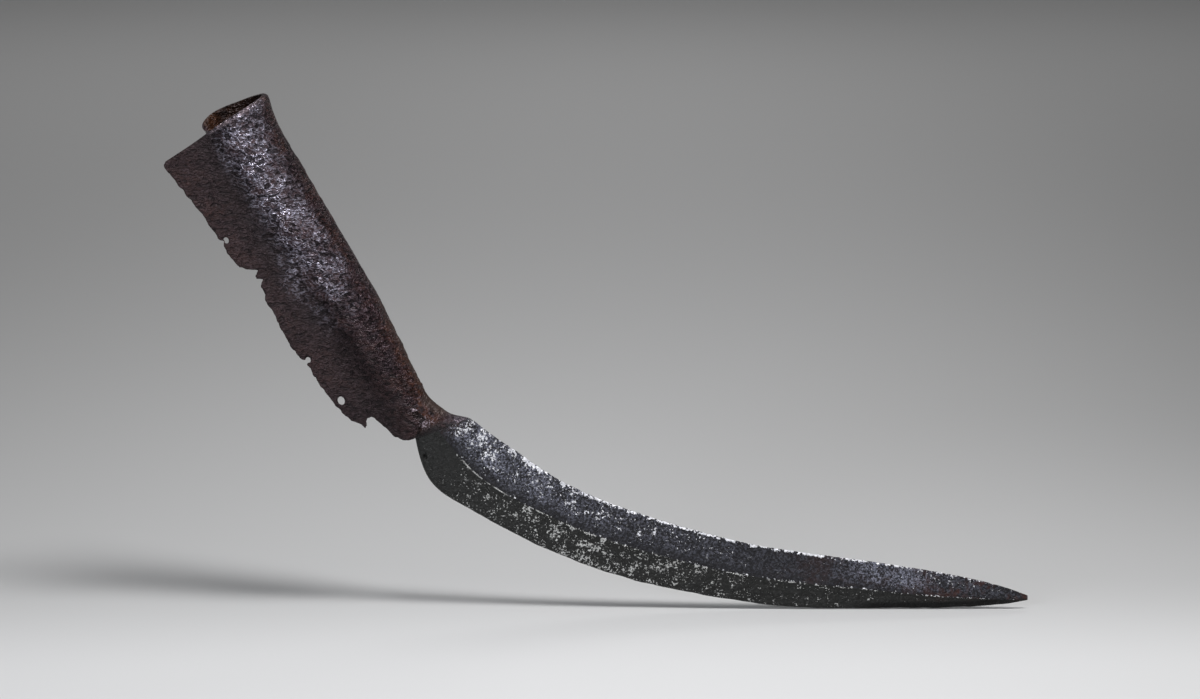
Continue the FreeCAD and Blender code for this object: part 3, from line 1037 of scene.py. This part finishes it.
def crust_group() -> bpy.types.NodeTree:
    """Old forged skin: its height, the crests of its wavy scale ridges, and a rust mask.

    A ridge stands where warped noise crosses its middle value, and falls off to both sides.

    Returns:
        The group.
    """
    inputs = {
        "Vector": ("Vector", None),
        "Ridges": ("Float", 420.0),
        "Grain": ("Float", 1300.0),
        "Depth": ("Float", 0.5),
    }
    group, w, given, out = new_group("forged_crust", inputs, ("Height", "Crest", "Rust"))
    vector, ridges = given.outputs["Vector"], given.outputs["Ridges"]
    wave = w.noise(vector, ridges, 1.5, 0.5, 0.6)
    fall = w.math("ABSOLUTE", w.plus(wave, -0.5))
    scale = w.times(w.plus(w.times(wave, 0.8), w.times(fall, -1.8)), given.outputs["Depth"])
    grain = w.noise(vector, given.outputs["Grain"], 1.0, 0.5)
    w.feed(out.inputs["Height"], w.plus(scale, w.times(grain, 0.3)))
    w.feed(out.inputs["Crest"], w.times(w.step(fall, 0.10, 0.015), w.step(grain, 0.34, 0.56)))
    patches = w.noise(vector, 60.0, 5.0, 0.6)
    spots = w.noise(vector, 420.0, 3.0, 0.6)
    w.feed(out.inputs["Rust"], w.step(w.plus(w.times(patches, 0.6), w.times(spots, 0.4)), 0.44, 0.62))
    return group


def fed(w: Wiring, group: bpy.types.NodeTree, **values: object) -> bpy.types.NodeOutputs:
    """Place a shared group and feed its sockets.

    Args:
        w: The material's wiring.
        group: The shared group.
        values: Socket name to its value, or to an output to join.

    Returns:
        The placed group's outputs.
    """
    node = w.add("ShaderNodeGroup", node_tree=group)
    for name, value in values.items():
        w.feed(node.inputs[name], value)
    return node.outputs


@dataclass(frozen=True)
class Shared:
    """The node groups that more than one finish uses."""

    crust: bpy.types.NodeTree
    flecks: bpy.types.NodeTree


def new_material(name: str) -> Tuple[bpy.types.Material, Wiring, bpy.types.Node, Socket]:
    """Start a material.

    Args:
        name: The material's name.

    Returns:
        The material, its wiring, its Principled BSDF, and the object coordinates.
    """
    material = bpy.data.materials.new(name)
    material.use_nodes = True
    material.node_tree.nodes.clear()
    w = Wiring(material.node_tree)
    shader = w.add("ShaderNodeBsdfPrincipled")
    out = w.add("ShaderNodeOutputMaterial")
    w.feed(out.inputs["Surface"], shader.outputs["BSDF"])
    return material, w, shader, w.add("ShaderNodeTexCoord").outputs["Object"]


@dataclass(frozen=True)
class SocketPatina:
    """Brown-purple rusted iron, with its ridges rubbed to a blue-silver shine down the front, which is also a
    painted highlight band where the light falls.

    A span is a pair of lengths, round the section or down the socket, over which something
    fades in; where the second is the smaller, it fades in towards smaller lengths.
    """

    scale: Colour = (0.0115, 0.0060, 0.0080, 1.0)
    worn: Colour = (0.028, 0.0135, 0.0155, 1.0)
    # Rubbed-shine colour, also a painted highlight laid down the front where the light falls.
    shine_and_highlight: Colour = (0.72, 0.69, 0.84, 1.0)
    rust: Colour = (0.052, 0.020, 0.013, 1.0)
    # Soot on the flap; also painted shade in the hollow low on the front.
    soot_and_shade: Colour = (0.0125, 0.0062, 0.0052, 1.0)
    dust: Colour = (0.062, 0.044, 0.036, 1.0)
    streak: Colour = (0.120, 0.042, 0.020, 1.0)
    # Rust of the inside, shown only on the far inner wall as painted light.
    inner: Colour = (0.060, 0.024, 0.011, 1.0)
    # Rubbed bare metal at the foot; also the painted highlight on the lip of the mouth.
    rubbed: Colour = (0.36, 0.29, 0.32, 1.0)
    # Near-black of the pits; also painted shade in the valley and over the inside of the tube.
    pitch_and_painted_shade: Colour = (0.0035, 0.0026, 0.0028, 1.0)
    # Pale specks of grain, partly painted glints where the light falls on the front.
    grain_and_painted_glint: Colour = (0.16, 0.115, 0.135, 1.0)
    gloss: Colour = (1.0, 0.86, 0.91, 1.0)
    grain_stretch: Tuple[float, float, float] = (0.85, 1.0, 1.5)
    # Where the rubbed shine and painted highlight band lies: round the section, then down the socket.
    shine_and_highlight_sides: Stops = ((-25.0, -14.0), (11.0, -9.0))
    shine_and_highlight_foot: Span = (130.0, 78.0)
    side: Span = (-11.0, -24.0)
    low: Span = (92.0, 150.0)
    flap: Span = (1.0, 12.0)
    low_flap: Span = (-9.0, 1.0)
    # Where painted shade darkens the valley between the tube and the flap, round the section.
    valley: Stops = ((0.0, 7.0), (27.0, 11.0))
    scrape: Stops = ((-16.0, -10.0), (-2.0, -6.0))
    scrape_foot: Span = (169.0, 176.0)
    smear: Stops = ((-16.0, -21.0), (-30.0, -25.0))
    smear_foot: Span = (118.0, 145.0)
    wiped: Span = (-21.0, -27.0)
    wiped_foot: Span = (95.0, 150.0)
    # Where the lip of the mouth is rubbed and painted with a highlight, round the section.
    rim: Stops = ((-27.0, -17.0), (10.0, 0.0))

    def shine_and_highlight_strength(self, w: Wiring, place: Socket, crest: Socket, front: Socket) -> Socket:
        """Strength of the rubbed shine and painted highlight: on the crests down the front, in broad patches.

        Args:
            w: The material's wiring.
            place: Object coordinates.
            crest: Mask of the forged skin's crests.
            front: Strength of the front.

        Returns:
            The mask of the shine and painted highlight.
        """
        patch = w.step(w.noise(place, 110.0, 3.0), 0.38, 0.58, 0.22, 1.0)
        patch = w.times(patch, w.step(w.mark("depth"), 20.0, 80.0, 1.0, 0.68))
        return w.times(front, w.plus(0.06, w.times(crest, 0.94)), patch)

    def handled(self, w: Wiring, shared: Shared, vector: Socket, outer: Socket) -> List[Tuple[Value, Colour]]:
        """Coats: pale specks on the front, partly painted glints, then what use has left: a scraped foot, a
        rust smear and wiped dust.

        Args:
            w: The material's wiring.
            shared: The shared node groups.
            vector: Coordinates along the grain.
            outer: Mask of the plate's outer skin.

        Returns:
            Masks and their colours.
        """
        run, depth = w.mark("run"), w.mark("depth")
        # sparks: pale specks on the front's lower half, partly painted glints.
        sparks = w.times(w.step(run, 0.0, -9.0), w.step(depth, 40.0, 125.0, 0.15, 0.42), outer)
        spark = fed(w, shared.flecks, Vector=vector, Cover=sparks, Size=750.0, Edge=0.04)["Mask"]
        foot = w.times(w.step(depth, *self.scrape_foot), w.band(run, *self.scrape), outer)
        foot = w.times(foot, 0.66)
        scrape = fed(w, shared.flecks, Vector=vector, Cover=foot, Size=900.0, Edge=0.08)["Mask"]
        turn = w.plus(run, w.times(w.plus(depth, -100.0), -0.1))
        smear = w.times(w.band(turn, *self.smear), w.step(depth, *self.smear_foot), outer)
        smear = w.times(smear, w.step(w.noise(vector, 260.0, 3.0, 0.7), 0.36, 0.66), 0.50)
        return [
            (w.times(spark, 0.9), self.grain_and_painted_glint),
            (w.times(scrape, 0.8), self.rubbed),
            (smear, self.streak),
        ]

    def material(self, shared: Shared) -> bpy.types.Material:
        """Build the finish.

        The run round the section gives the rubbed front with its painted highlight band, the rusty right side
        and the sooty flap, and puts painted shade in the valley, in the hollow and over the inside of the
        tube; the ridges of the forged skin break the shine and highlight into short wavy streaks.

        Args:
            shared: The shared node groups.

        Returns:
            The material.
        """
        material, w, shader, place = new_material("socket_patina")
        turned = {"Vector": place, "Rotation": (0.0, LEAN, 0.0), "Scale": self.grain_stretch}
        vector = w.add("ShaderNodeMapping", turned).outputs[0]
        skin = fed(w, shared.crust, Vector=vector, Ridges=330.0, Grain=850.0, Depth=1.0)
        run, depth, within = w.mark("run"), w.mark("depth"), w.mark("within")
        outer = w.step(within, 1.0, 0.0)
        tone = w.noise(place, 70.0, 4.0, 0.6)
        bent = w.plus(run, w.times(w.plus(w.noise(place, 45.0, 2.0), -0.5), 22.0), w.times(depth, -0.06))
        # front: the band down the front that carries the rubbed shine and the painted highlight.
        front = w.times(w.band(bent, *self.shine_and_highlight_sides), w.step(depth, *self.shine_and_highlight_foot), outer)
        side, low = w.times(w.step(run, *self.side), outer), w.step(depth, *self.low)
        flap = w.plus(w.step(run, *self.flap), w.times(low, w.step(run, *self.low_flap)))
        flap = w.math("MINIMUM", flap, 1.0)
        turn = w.plus(run, w.times(w.plus(depth, -100.0), -0.1))
        wiped = w.times(w.step(turn, *self.wiped), w.step(depth, *self.wiped_foot), outer)
        shine_and_highlight = self.shine_and_highlight_strength(w, place, skin["Crest"], front)

        red = w.times(skin["Rust"], w.plus(0.58, w.times(side, 0.35), w.times(side, low, 0.1)))
        # Soot on the flap.
        soot_and_shade = w.times(flap, w.step(w.noise(vector, 520.0, 3.0, 0.7), 0.36, 0.60, 1.0, 0.45))
        # valley: painted shade down the valley, where the plate turns away from the light.
        valley = w.times(w.band(run, *self.valley), w.step(depth, 130.0, 70.0, 0.45, 0.75), outer)
        grit = w.step(w.noise(vector, 820.0, 2.0, 0.75), 0.47, 0.66)
        # grit: fine pale grain all over, raised down the front and the right side; on the front it is also
        # painted glints.
        grit = w.times(grit, w.plus(0.14, w.times(front, 0.35), w.times(side, 0.16)))
        pits = w.times(w.step(skin["Height"], 0.44, 0.20), w.step(run, 12.0, 2.0, 0.6, 0.78))
        # lit: painted light on the far inner wall seen through the mouth, over the painted shade inside.
        lit = w.times(within, w.step(tone, 0.36, 0.62, 0.15, 1.0), w.step(run, -50.0, -74.0, 0.25, 1.0))
        # rim: worn lip of the mouth down the front, partly a painted highlight where the light catches it.
        rim = w.times(w.mark("rim"), w.step(w.noise(place, 160.0), 0.36, 0.54), w.band(run, *self.rim), outer)
        coats = [
            (w.step(tone, 0.38, 0.66), self.worn),
            (red, self.rust),
            (soot_and_shade, self.soot_and_shade),
            # Painted shade in the valley.
            (valley, self.pitch_and_painted_shade),
            (grit, self.grain_and_painted_glint),
            (pits, self.pitch_and_painted_shade),
            # Rubbed shine on the crests, painted as a highlight where the light falls.
            (shine_and_highlight, self.shine_and_highlight),
            *self.handled(w, shared, vector, outer),
            (w.times(wiped, 0.65), self.dust),
            # Painted shade: the whole inside of the tube darkened to near-black, then painted lighter where
            # light reaches the far wall.
            (within, self.pitch_and_painted_shade),
            (lit, self.inner),
            # Rubbed lip, painted bright as a highlight.
            (w.times(rim, 0.8), self.rubbed),
            # Painted shade in the dented hollow low on the front.
            (w.times(w.mark("hollow"), 0.8), self.soot_and_shade),
        ]
        w.feed(shader.inputs["Base Color"], w.layers(self.scale, coats))
        w.feed(shader.inputs["Metallic"], w.math("MINIMUM", w.plus(0.15, shine_and_highlight, w.times(rim, 0.5)), 0.8))
        rough = w.plus(w.step(tone, 0.3, 0.7, 0.38, 0.26), w.times(flap, 0.34), w.times(shine_and_highlight, -0.06))
        w.feed(shader.inputs["Roughness"], rough)
        calm = w.times(w.step(run, 4.0, 17.0, 1.0, 0.45), w.step(wiped, 0.0, 1.0, 1.0, 0.3))
        w.bump(shader, w.times(skin["Height"], calm), strength=1.0, distance=0.0050)
        shader.inputs["Specular IOR Level"].default_value = 0.38
        shader.inputs["Specular Tint"].default_value = self.gloss
        return material


@dataclass(frozen=True)
class NeckPatina:
    """Red-brown rust, rubbed smooth and grey along the top, pale where it meets the blade.

    Spans lie along the forging, negative before the scarf, or down from its upper outline.
    """

    rust: Colour = (0.030, 0.0115, 0.0080, 1.0)
    scale: Colour = (0.0110, 0.0065, 0.0080, 1.0)
    rubbed: Colour = (0.066, 0.043, 0.036, 1.0)
    orange: Colour = (0.070, 0.022, 0.0095, 1.0)
    pale: Colour = (0.34, 0.28, 0.32, 1.0)
    grit: Colour = (0.14, 0.10, 0.115, 1.0)
    dark: Colour = (0.0150, 0.0125, 0.0135, 1.0)
    lavender: Colour = (0.052, 0.044, 0.056, 1.0)
    warm_drop: Stops = ((2.0, 5.0), (13.0, 8.0))
    top: Span = (-3.0, -10.0)
    top_drop: Span = (5.5, 1.5)
    patch: Stops = ((-22.0, -14.0), (-1.0, -7.0))
    patch_drop: Stops = ((5.5, 9.0), (20.0, 13.5))
    corner: Span = (-7.0, -2.0)
    corner_drop: Span = (8.5, 4.0)
    join: Span = (-9.0, -1.0)

    def material(self, shared: Shared) -> bpy.types.Material:
        """Build the finish.

        Args:
            shared: The shared node groups.

        Returns:
            The material.
        """
        material, w, shader, place = new_material("neck_patina")
        skin = fed(w, shared.crust, Vector=place, Ridges=420.0, Grain=1100.0, Depth=0.9)
        along, drop = w.mark("along"), w.mark("drop")
        warm = w.times(w.band(drop, *self.warm_drop), w.step(w.noise(place, 330.0, 3.0, 0.7), 0.35, 0.62))
        top = w.times(w.step(drop, *self.top_drop), w.step(along, *self.top))
        patch = w.times(w.band(along, *self.patch), w.band(drop, *self.patch_drop))
        corner = w.times(w.step(along, *self.corner), w.step(drop, *self.corner_drop))
        cover = w.plus(w.times(patch, 0.66), w.times(corner, 0.60))
        spark = fed(w, shared.flecks, Vector=place, Cover=cover, Size=1050.0, Edge=0.08)["Mask"]
        grit = w.step(w.noise(place, 820.0, 2.0, 0.75), 0.47, 0.66)
        grit = w.times(grit, w.step(top, 1.0, 0.0, 0.05, 0.40))
        join = w.times(w.step(along, *self.join), w.step(w.noise(place, 420.0, 3.0), 0.32, 0.58, 0.45, 1.0))
        coats = (
            (skin["Rust"], self.rust),
            (w.times(warm, 0.75), self.orange),
            (w.times(top, 0.65), self.rubbed),
            (grit, self.grit),
            (join, w.mix(w.step(drop, 11.0, 2.0), self.dark, self.lavender)),
            (w.times(spark, 0.85), self.pale),
        )
        w.feed(shader.inputs["Base Color"], w.layers(self.scale, coats))
        w.feed(shader.inputs["Roughness"], w.step(top, 0.0, 1.0, 0.50, 0.40))
        height = w.times(skin["Height"], w.step(top, 0.0, 1.0, 1.0, 0.3))
        w.bump(shader, height, strength=1.0, distance=0.0020)
        shader.inputs["Metallic"].default_value = 0.25
        shader.inputs["Specular IOR Level"].default_value = 0.3
        return material


@dataclass(frozen=True)
class BladePatina:
    """Dark scale with flecks of bare metal that thicken in places along the blade, and a painted sheen where
    the light catches the bevel.

    Stops are lengths from the scarf towards the tip, with a level at each.
    """

    name: str
    scale: Colour
    # Colour of the painted sheen: light caught on the bevel.
    painted_sheen: Colour
    fleck: Colour
    covers: Stops
    painted_sheens: Stops
    ridges: Stops
    rusts: Stops
    rims: Stops = ((0.0, 0.0), (320.0, 0.0))
    lines: Stops = ((0.0, 0.0), (320.0, 0.0))
    # Levels of painted shade on the undercut facet along the lower outline.
    shaded_facets: Stops = ((0.0, 0.0), (320.0, 0.0))
    rust: Colour = (0.060, 0.022, 0.016, 1.0)
    black: Colour = (0.002, 0.002, 0.002, 1.0)
    fleck_size: float = 880.0
    near_ridge: float = 1.0
    roughness: float = 0.46
    gloss: float = 0.2

    def bared(self, w: Wiring, shared: Shared, place: Socket) -> Socket:
        """Mask of the bare metal.

        The cover of the flecks is the zone's level times broad clusters, or the rim's or the
        ridge's level where that is more. A thin line runs along the ridge near the root.

        Args:
            w: The material's wiring.
            shared: The shared node groups.
            place: Object coordinates.

        Returns:
            The mask.
        """
        along, gap, bevel = w.mark("along"), w.mark("gap"), w.mark("bevel")
        cluster = w.step(w.noise(place, 150.0, 4.0, 0.7), 0.36, 0.66)
        cover = w.times(w.zones(along, self.covers), w.plus(0.40, w.times(cluster, 0.60)))
        cover = w.times(cover, w.math("MAXIMUM", w.step(along, 12.0, 24.0), w.step(bevel, 0.98, 0.62)))
        cover = w.times(cover, w.step(bevel, 0.96, 0.45, self.near_ridge, 1.0))
        ragged = w.step(w.noise(place, 300.0, 3.0, 0.7), 0.38, 0.58)
        reach = w.step(along, 110.0, 50.0, 2.5, 6.5)
        rim = w.times(w.zones(along, self.rims), w.step(gap, reach, 0.3), w.plus(0.42, w.times(ragged, 0.58)))
        broken = w.plus(0.35, w.times(w.step(w.noise(place, 300.0, 3.0, 0.7), 0.40, 0.56), 0.65))
        ridge = w.times(w.zones(along, self.ridges), w.step(bevel, 0.90, 0.975), broken)
        cover = w.math("MAXIMUM", cover, w.math("MAXIMUM", rim, ridge))
        fleck = fed(w, shared.flecks, Vector=place, Cover=cover, Size=self.fleck_size, Edge=0.02)["Mask"]
        line = w.times(w.zones(along, self.lines), w.step(bevel, 0.955, 0.982), w.step(ragged, 0.0, 0.5))
        return w.math("MAXIMUM", fleck, line)

    def material(self, shared: Shared) -> bpy.types.Material:
        """Build the finish: scale, a painted sheen of fine dim specks where the light catches the bevel,
        rust, and the bare metal.

        Args:
            shared: The shared node groups.

        Returns:
            The material.
        """
        material, w, shader, place = new_material(self.name)
        along, gap, bevel = w.mark("along"), w.mark("gap"), w.mark("bevel")
        skin = fed(w, shared.crust, Vector=place, Ridges=520.0, Grain=1500.0, Depth=0.6)
        patch = w.step(w.noise(place, 75.0, 3.0), 0.36, 0.62, 0.75, 1.0)
        # Painted sheen, following the zones along the blade, paler away from the ridge.
        painted_sheen = w.times(w.zones(along, self.painted_sheens), patch, w.step(bevel, 1.0, 0.66))
        dim = w.times(painted_sheen, 0.70)
        speck = fed(w, shared.flecks, Vector=place, Cover=dim, Size=1150.0, Edge=0.07)["Mask"]
        mottle = w.step(w.noise(place, 800.0, 2.0, 0.75), 0.44, 0.66)
        # Painted shade: the undercut facet along the lower outline near the tip, which faces down, darkened
        # to near-black.
        shaded_facet = w.times(w.zones(along, self.shaded_facets), w.step(gap, 4.2, 2.2))
        bare = w.times(self.bared(w, shared, place), w.step(shaded_facet, 0.6, 0.1))
        coats = (
            # Painted sheen in fine mottle and dim specks.
            (w.times(mottle, w.plus(0.08, w.times(painted_sheen, 0.60))), self.painted_sheen),
            (speck, self.painted_sheen),
            (w.times(w.zones(along, self.rusts), skin["Rust"]), self.rust),
            # The pit painted black, and painted shade on the undercut facet.
            (w.math("MAXIMUM", w.mark("pit"), shaded_facet), self.black),
            (bare, self.fleck),
        )
        w.feed(shader.inputs["Base Color"], w.layers(self.scale, coats))
        w.feed(shader.inputs["Metallic"], w.step(bare, 0.0, 1.0, 0.15, 0.5))
        w.feed(shader.inputs["Roughness"], w.step(bare, 0.0, 1.0, self.roughness, 0.36))
        w.bump(shader, w.plus(skin["Height"], w.times(bare, 0.5)), strength=0.9, distance=0.0012)
        shader.inputs["Specular IOR Level"].default_value = self.gloss
        return material


STEEL = BladePatina(
    name="steel_edge",
    scale=(0.0125, 0.0120, 0.0140, 1.0),
    painted_sheen=(0.190, 0.195, 0.245, 1.0),
    fleck=(0.78, 0.78, 0.82, 1.0),
    covers=(
        (0.0, 0.45), (6.0, 0.80), (24.0, 0.75), (36.0, 0.53), (70.0, 0.52), (120.0, 0.50), (150.0, 0.42),
        (190.0, 0.20), (230.0, 0.26), (255.0, 0.42), (300.0, 0.42), (320.0, 0.20),
    ),
    painted_sheens=(
        (0.0, 0.60), (10.0, 0.95), (56.0, 0.88), (95.0, 0.62), (140.0, 0.50), (185.0, 0.22), (212.0, 0.20),
        (236.0, 0.95), (260.0, 1.0), (276.0, 0.55), (320.0, 0.22),
    ),
    rims=(
        (0.0, 0.1), (12.0, 0.70), (26.0, 0.85), (40.0, 0.95), (200.0, 1.0), (245.0, 0.80), (290.0, 0.65),
        (320.0, 0.3),
    ),
    ridges=(
        (0.0, 0.0), (12.0, 0.0), (15.0, 0.5), (35.0, 0.5), (60.0, 0.4), (180.0, 0.55), (280.0, 0.58),
        (320.0, 0.4),
    ),
    near_ridge=0.55,
    rusts=(
        (0.0, 0.25), (10.0, 0.0), (180.0, 0.0), (208.0, 0.22), (235.0, 0.1), (262.0, 0.25), (284.0, 0.8),
        (320.0, 0.9),
    ),
)
IRON = BladePatina(
    name="iron_back",
    scale=(0.0150, 0.0150, 0.0143, 1.0),
    painted_sheen=(0.075, 0.075, 0.072, 1.0),
    fleck=(0.50, 0.50, 0.49, 1.0),
    covers=(
        (0.0, 0.0), (14.0, 0.20), (26.0, 0.50), (50.0, 0.55), (75.0, 0.68), (120.0, 0.68), (150.0, 0.56),
        (185.0, 0.46), (230.0, 0.40), (255.0, 0.24), (320.0, 0.20),
    ),
    painted_sheens=((0.0, 0.15), (60.0, 0.3), (200.0, 0.3), (320.0, 0.2)),
    ridges=(
        (0.0, 0.0), (11.0, 0.0), (14.0, 0.5), (44.0, 0.5), (50.0, 0.35), (58.0, 0.75), (180.0, 0.74),
        (280.0, 0.70), (320.0, 0.5),
    ),
    lines=((0.0, 0.0), (19.0, 0.0), (22.0, 0.9), (44.0, 0.9), (49.0, 0.0), (320.0, 0.0)),
    shaded_facets=((0.0, 0.0), (228.0, 0.0), (240.0, 0.9), (300.0, 0.9), (320.0, 0.0)),
    rusts=((0.0, 0.0), (250.0, 0.0), (320.0, 0.3)),
    fleck_size=1020.0,
)


# --- Studio ---


@dataclass(frozen=True)
class Softbox:
    """Rectangular light aimed at a point."""

    name: str
    place: Tuple[float, float, float]
    target: Tuple[float, float, float]
    width: float
    depth: float
    power: float
    tint: Tuple[float, float, float] = (1.0, 1.0, 1.0)

    def build(self) -> None:
        """Hang the light, facing its target."""
        light = bpy.data.lights.new(self.name, "AREA")
        light.shape = "RECTANGLE"
        light.size, light.size_y = self.width, self.depth
        light.energy = self.power
        light.color = self.tint
        lamp = bpy.data.objects.new(self.name, light)
        lamp.location = self.place
        aim = Vector(self.target) - Vector(self.place)
        lamp.rotation_euler = aim.to_track_quat("-Z", "Y").to_euler()
        lamp.visible_camera = False
        bpy.context.scene.collection.objects.link(lamp)


@dataclass(frozen=True)
class Paper:
    """Pale paper with painted light: a painted pool of light under and in front of the head, and painted
    shade that darkens it to the sides behind it.
    """

    pale: Colour = (0.745, 0.745, 0.75, 1.0)
    shade: Colour = (0.46, 0.46, 0.46, 1.0)
    # Dark colour that the painted side shade blends towards.
    corner: Colour = (0.02, 0.02, 0.02, 1.0)
    painted_fore_light: Span = (0.10, -0.16)
    painted_light_pool: Span = (2.2, 0.1)
    painted_pool_middle: float = 0.26
    painted_pool_squeeze: Span = (3.4, 0.4)
    painted_pool_share: float = 0.435
    painted_shade_middle: float = -0.02
    painted_shade_depth: Span = (-0.15, 0.7)
    painted_shade_rate: float = 8.0
    most_painted_shade: float = 0.5

    def material(self, distance: float) -> bpy.types.Material:
        """Build the finish.

        The painted pool of light is a long oval round the head, and painted light brightens the floor in
        front of it. The painted side shade grows as the square of the distance to the side, over the distance
        from a point as far in front of the head as the camera.

        Args:
            distance: From the head's middle to the camera.

        Returns:
            The material.
        """
        material, w, shader, place = new_material("paper")
        axes = w.add("ShaderNodeSeparateXYZ", {"Vector": place}).outputs
        wide = w.times(w.plus(axes["X"], -self.painted_pool_middle), self.painted_pool_squeeze[0])
        deep = w.times(axes["Y"], self.painted_pool_squeeze[1])
        painted_light_pool = w.step(w.math("SQRT", w.plus(w.times(wide, wide), w.times(deep, deep))), *self.painted_light_pool)
        painted_fore_light = w.step(axes["Y"], *self.painted_fore_light)
        tone = w.plus(w.times(painted_light_pool, self.painted_pool_share), w.times(painted_fore_light, 1 - self.painted_pool_share))
        ahead = w.math("MAXIMUM", w.plus(axes["Y"], distance), 0.6)
        aside = w.math("DIVIDE", w.plus(axes["X"], -self.painted_shade_middle), ahead)
        painted_side_shade = w.times(aside, aside, self.painted_shade_rate, w.step(axes["Y"], *self.painted_shade_depth, 0.2, 1.0))
        # Painted light and shade: the pool and the front floor lighten the paper, and the sides darken it.
        colour = w.mix(tone, self.shade, self.pale)
        colour = w.mix(w.math("MINIMUM", painted_side_shade, self.most_painted_shade), colour, self.corner)
        w.feed(shader.inputs["Base Color"], colour)
        shader.inputs["Roughness"].default_value = 0.9
        return material


@dataclass
class Studio:
    """Round pale sweep, soft lights and the camera."""

    floor: float
    elevation: float = math.radians(8.0)
    distance: float = 2.4
    frame_width: float = 0.6
    target: Tuple[float, float, float] = (0.18306, 0.0, -0.12048)
    sensor: float = 36.0
    flat: float = 4.8
    curve: float = 1.2
    wall: float = 3.0
    lamps: Tuple[Softbox, ...] = (
        Softbox("overhead", (0.80, -0.84, 1.82), (0.22, 0.0, -0.25), 0.8, 0.8, 45.0),
        Softbox("front", (-0.78, -1.57, 0.19), (0.05, 0.0, -0.08), 0.45, 0.7, 16.0, (0.90, 0.94, 1.0)),
        Softbox("backdrop", (0.3, 3.4, 2.3), (0.3, 3.2, -0.25), 3.0, 1.2, 26.0),
    )
    air: Colour = (0.99, 0.99, 1.0, 1.0)
    air_strength: float = 0.14

    def camera(self) -> None:
        """Set the camera in front of the head's middle, looking a little down on it."""
        lens = bpy.data.cameras.new("camera")
        lens.sensor_width = self.sensor
        lens.lens = self.sensor * self.distance / self.frame_width
        lens.clip_end = 20.0
        camera = bpy.data.objects.new("camera", lens)
        back = Vector((0.0, -math.cos(self.elevation), math.sin(self.elevation)))
        camera.location = Vector(self.target) + back * self.distance
        camera.rotation_euler = (-back).to_track_quat("-Z", "Y").to_euler()
        bpy.context.scene.collection.objects.link(camera)
        bpy.context.scene.camera = camera

    def sweep(self) -> None:
        """Build the sweep: a flat disc, a quarter turn upwards, and a round wall.

        The profile is carried round the upright axis through the head's middle.
        """
        turn = np.linspace(0.0, math.pi / 2, 17)
        disc = np.linspace(0.0, self.flat, 13)
        reach = np.concatenate([disc, self.flat + self.curve * np.sin(turn[1:]), [self.flat + self.curve]])
        rise = np.concatenate([0 * disc, self.curve * (1 - np.cos(turn[1:])), [self.wall]])
        angle = np.linspace(0.0, 2 * math.pi, 97)
        x = self.target[0] + reach * np.cos(angle)[:, None]
        y = reach * np.sin(angle)[:, None]
        points = np.stack([x, y, np.broadcast_to(rise, x.shape) + self.floor], -1)
        rows, columns = points.shape[:2]
        number = np.arange(rows * columns).reshape(rows, columns)
        quads = np.stack([number[1:, :-1], number[1:, 1:], number[:-1, 1:], number[:-1, :-1]], -1)
        mesh = bpy.data.meshes.new("sweep")
        mesh.from_pydata(points.reshape(-1, 3).tolist(), [], quads.reshape(-1, 4).tolist())
        mesh.shade_smooth()
        mesh.materials.append(Paper().material(self.distance))
        sweep = bpy.data.objects.new("sweep", mesh)
        bpy.context.scene.collection.objects.link(sweep)
        sweep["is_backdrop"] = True

    def room(self) -> None:
        """Hang the lights and set the dim air of the room."""
        for lamp in self.lamps:
            lamp.build()
        world = bpy.data.worlds.new("room")
        world.use_nodes = True
        background = world.node_tree.nodes["Background"]
        background.inputs["Color"].default_value = self.air
        background.inputs["Strength"].default_value = self.air_strength
        bpy.context.scene.world = world

    def build(self) -> None:
        """Set up everything that isn't the object."""
        self.camera()
        self.sweep()
        self.room()


def main() -> None:
    """Build the irons and the studio round them."""
    cad_low, cad_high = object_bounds()
    logging.basicConfig(level=logging.INFO, format="%(message)s")
    bpy.context.scene.view_settings.view_transform = "Standard"
    Studio(floor=cad_low[2]).build()
    shared = Shared(crust_group(), fleck_group())
    socket = RolledSocket().build()
    neck, back, edge = ForgedBlade().build()
    hand_over(socket, Iron.SOCKET, SocketPatina().material(shared))
    hand_over(neck, Iron.NECK, NeckPatina().material(shared))
    hand_over(back, Iron.BACK, IRON.material(shared))
    hand_over(edge, Iron.EDGE, STEEL.material(shared))


if __name__ == "__main__":
    main()
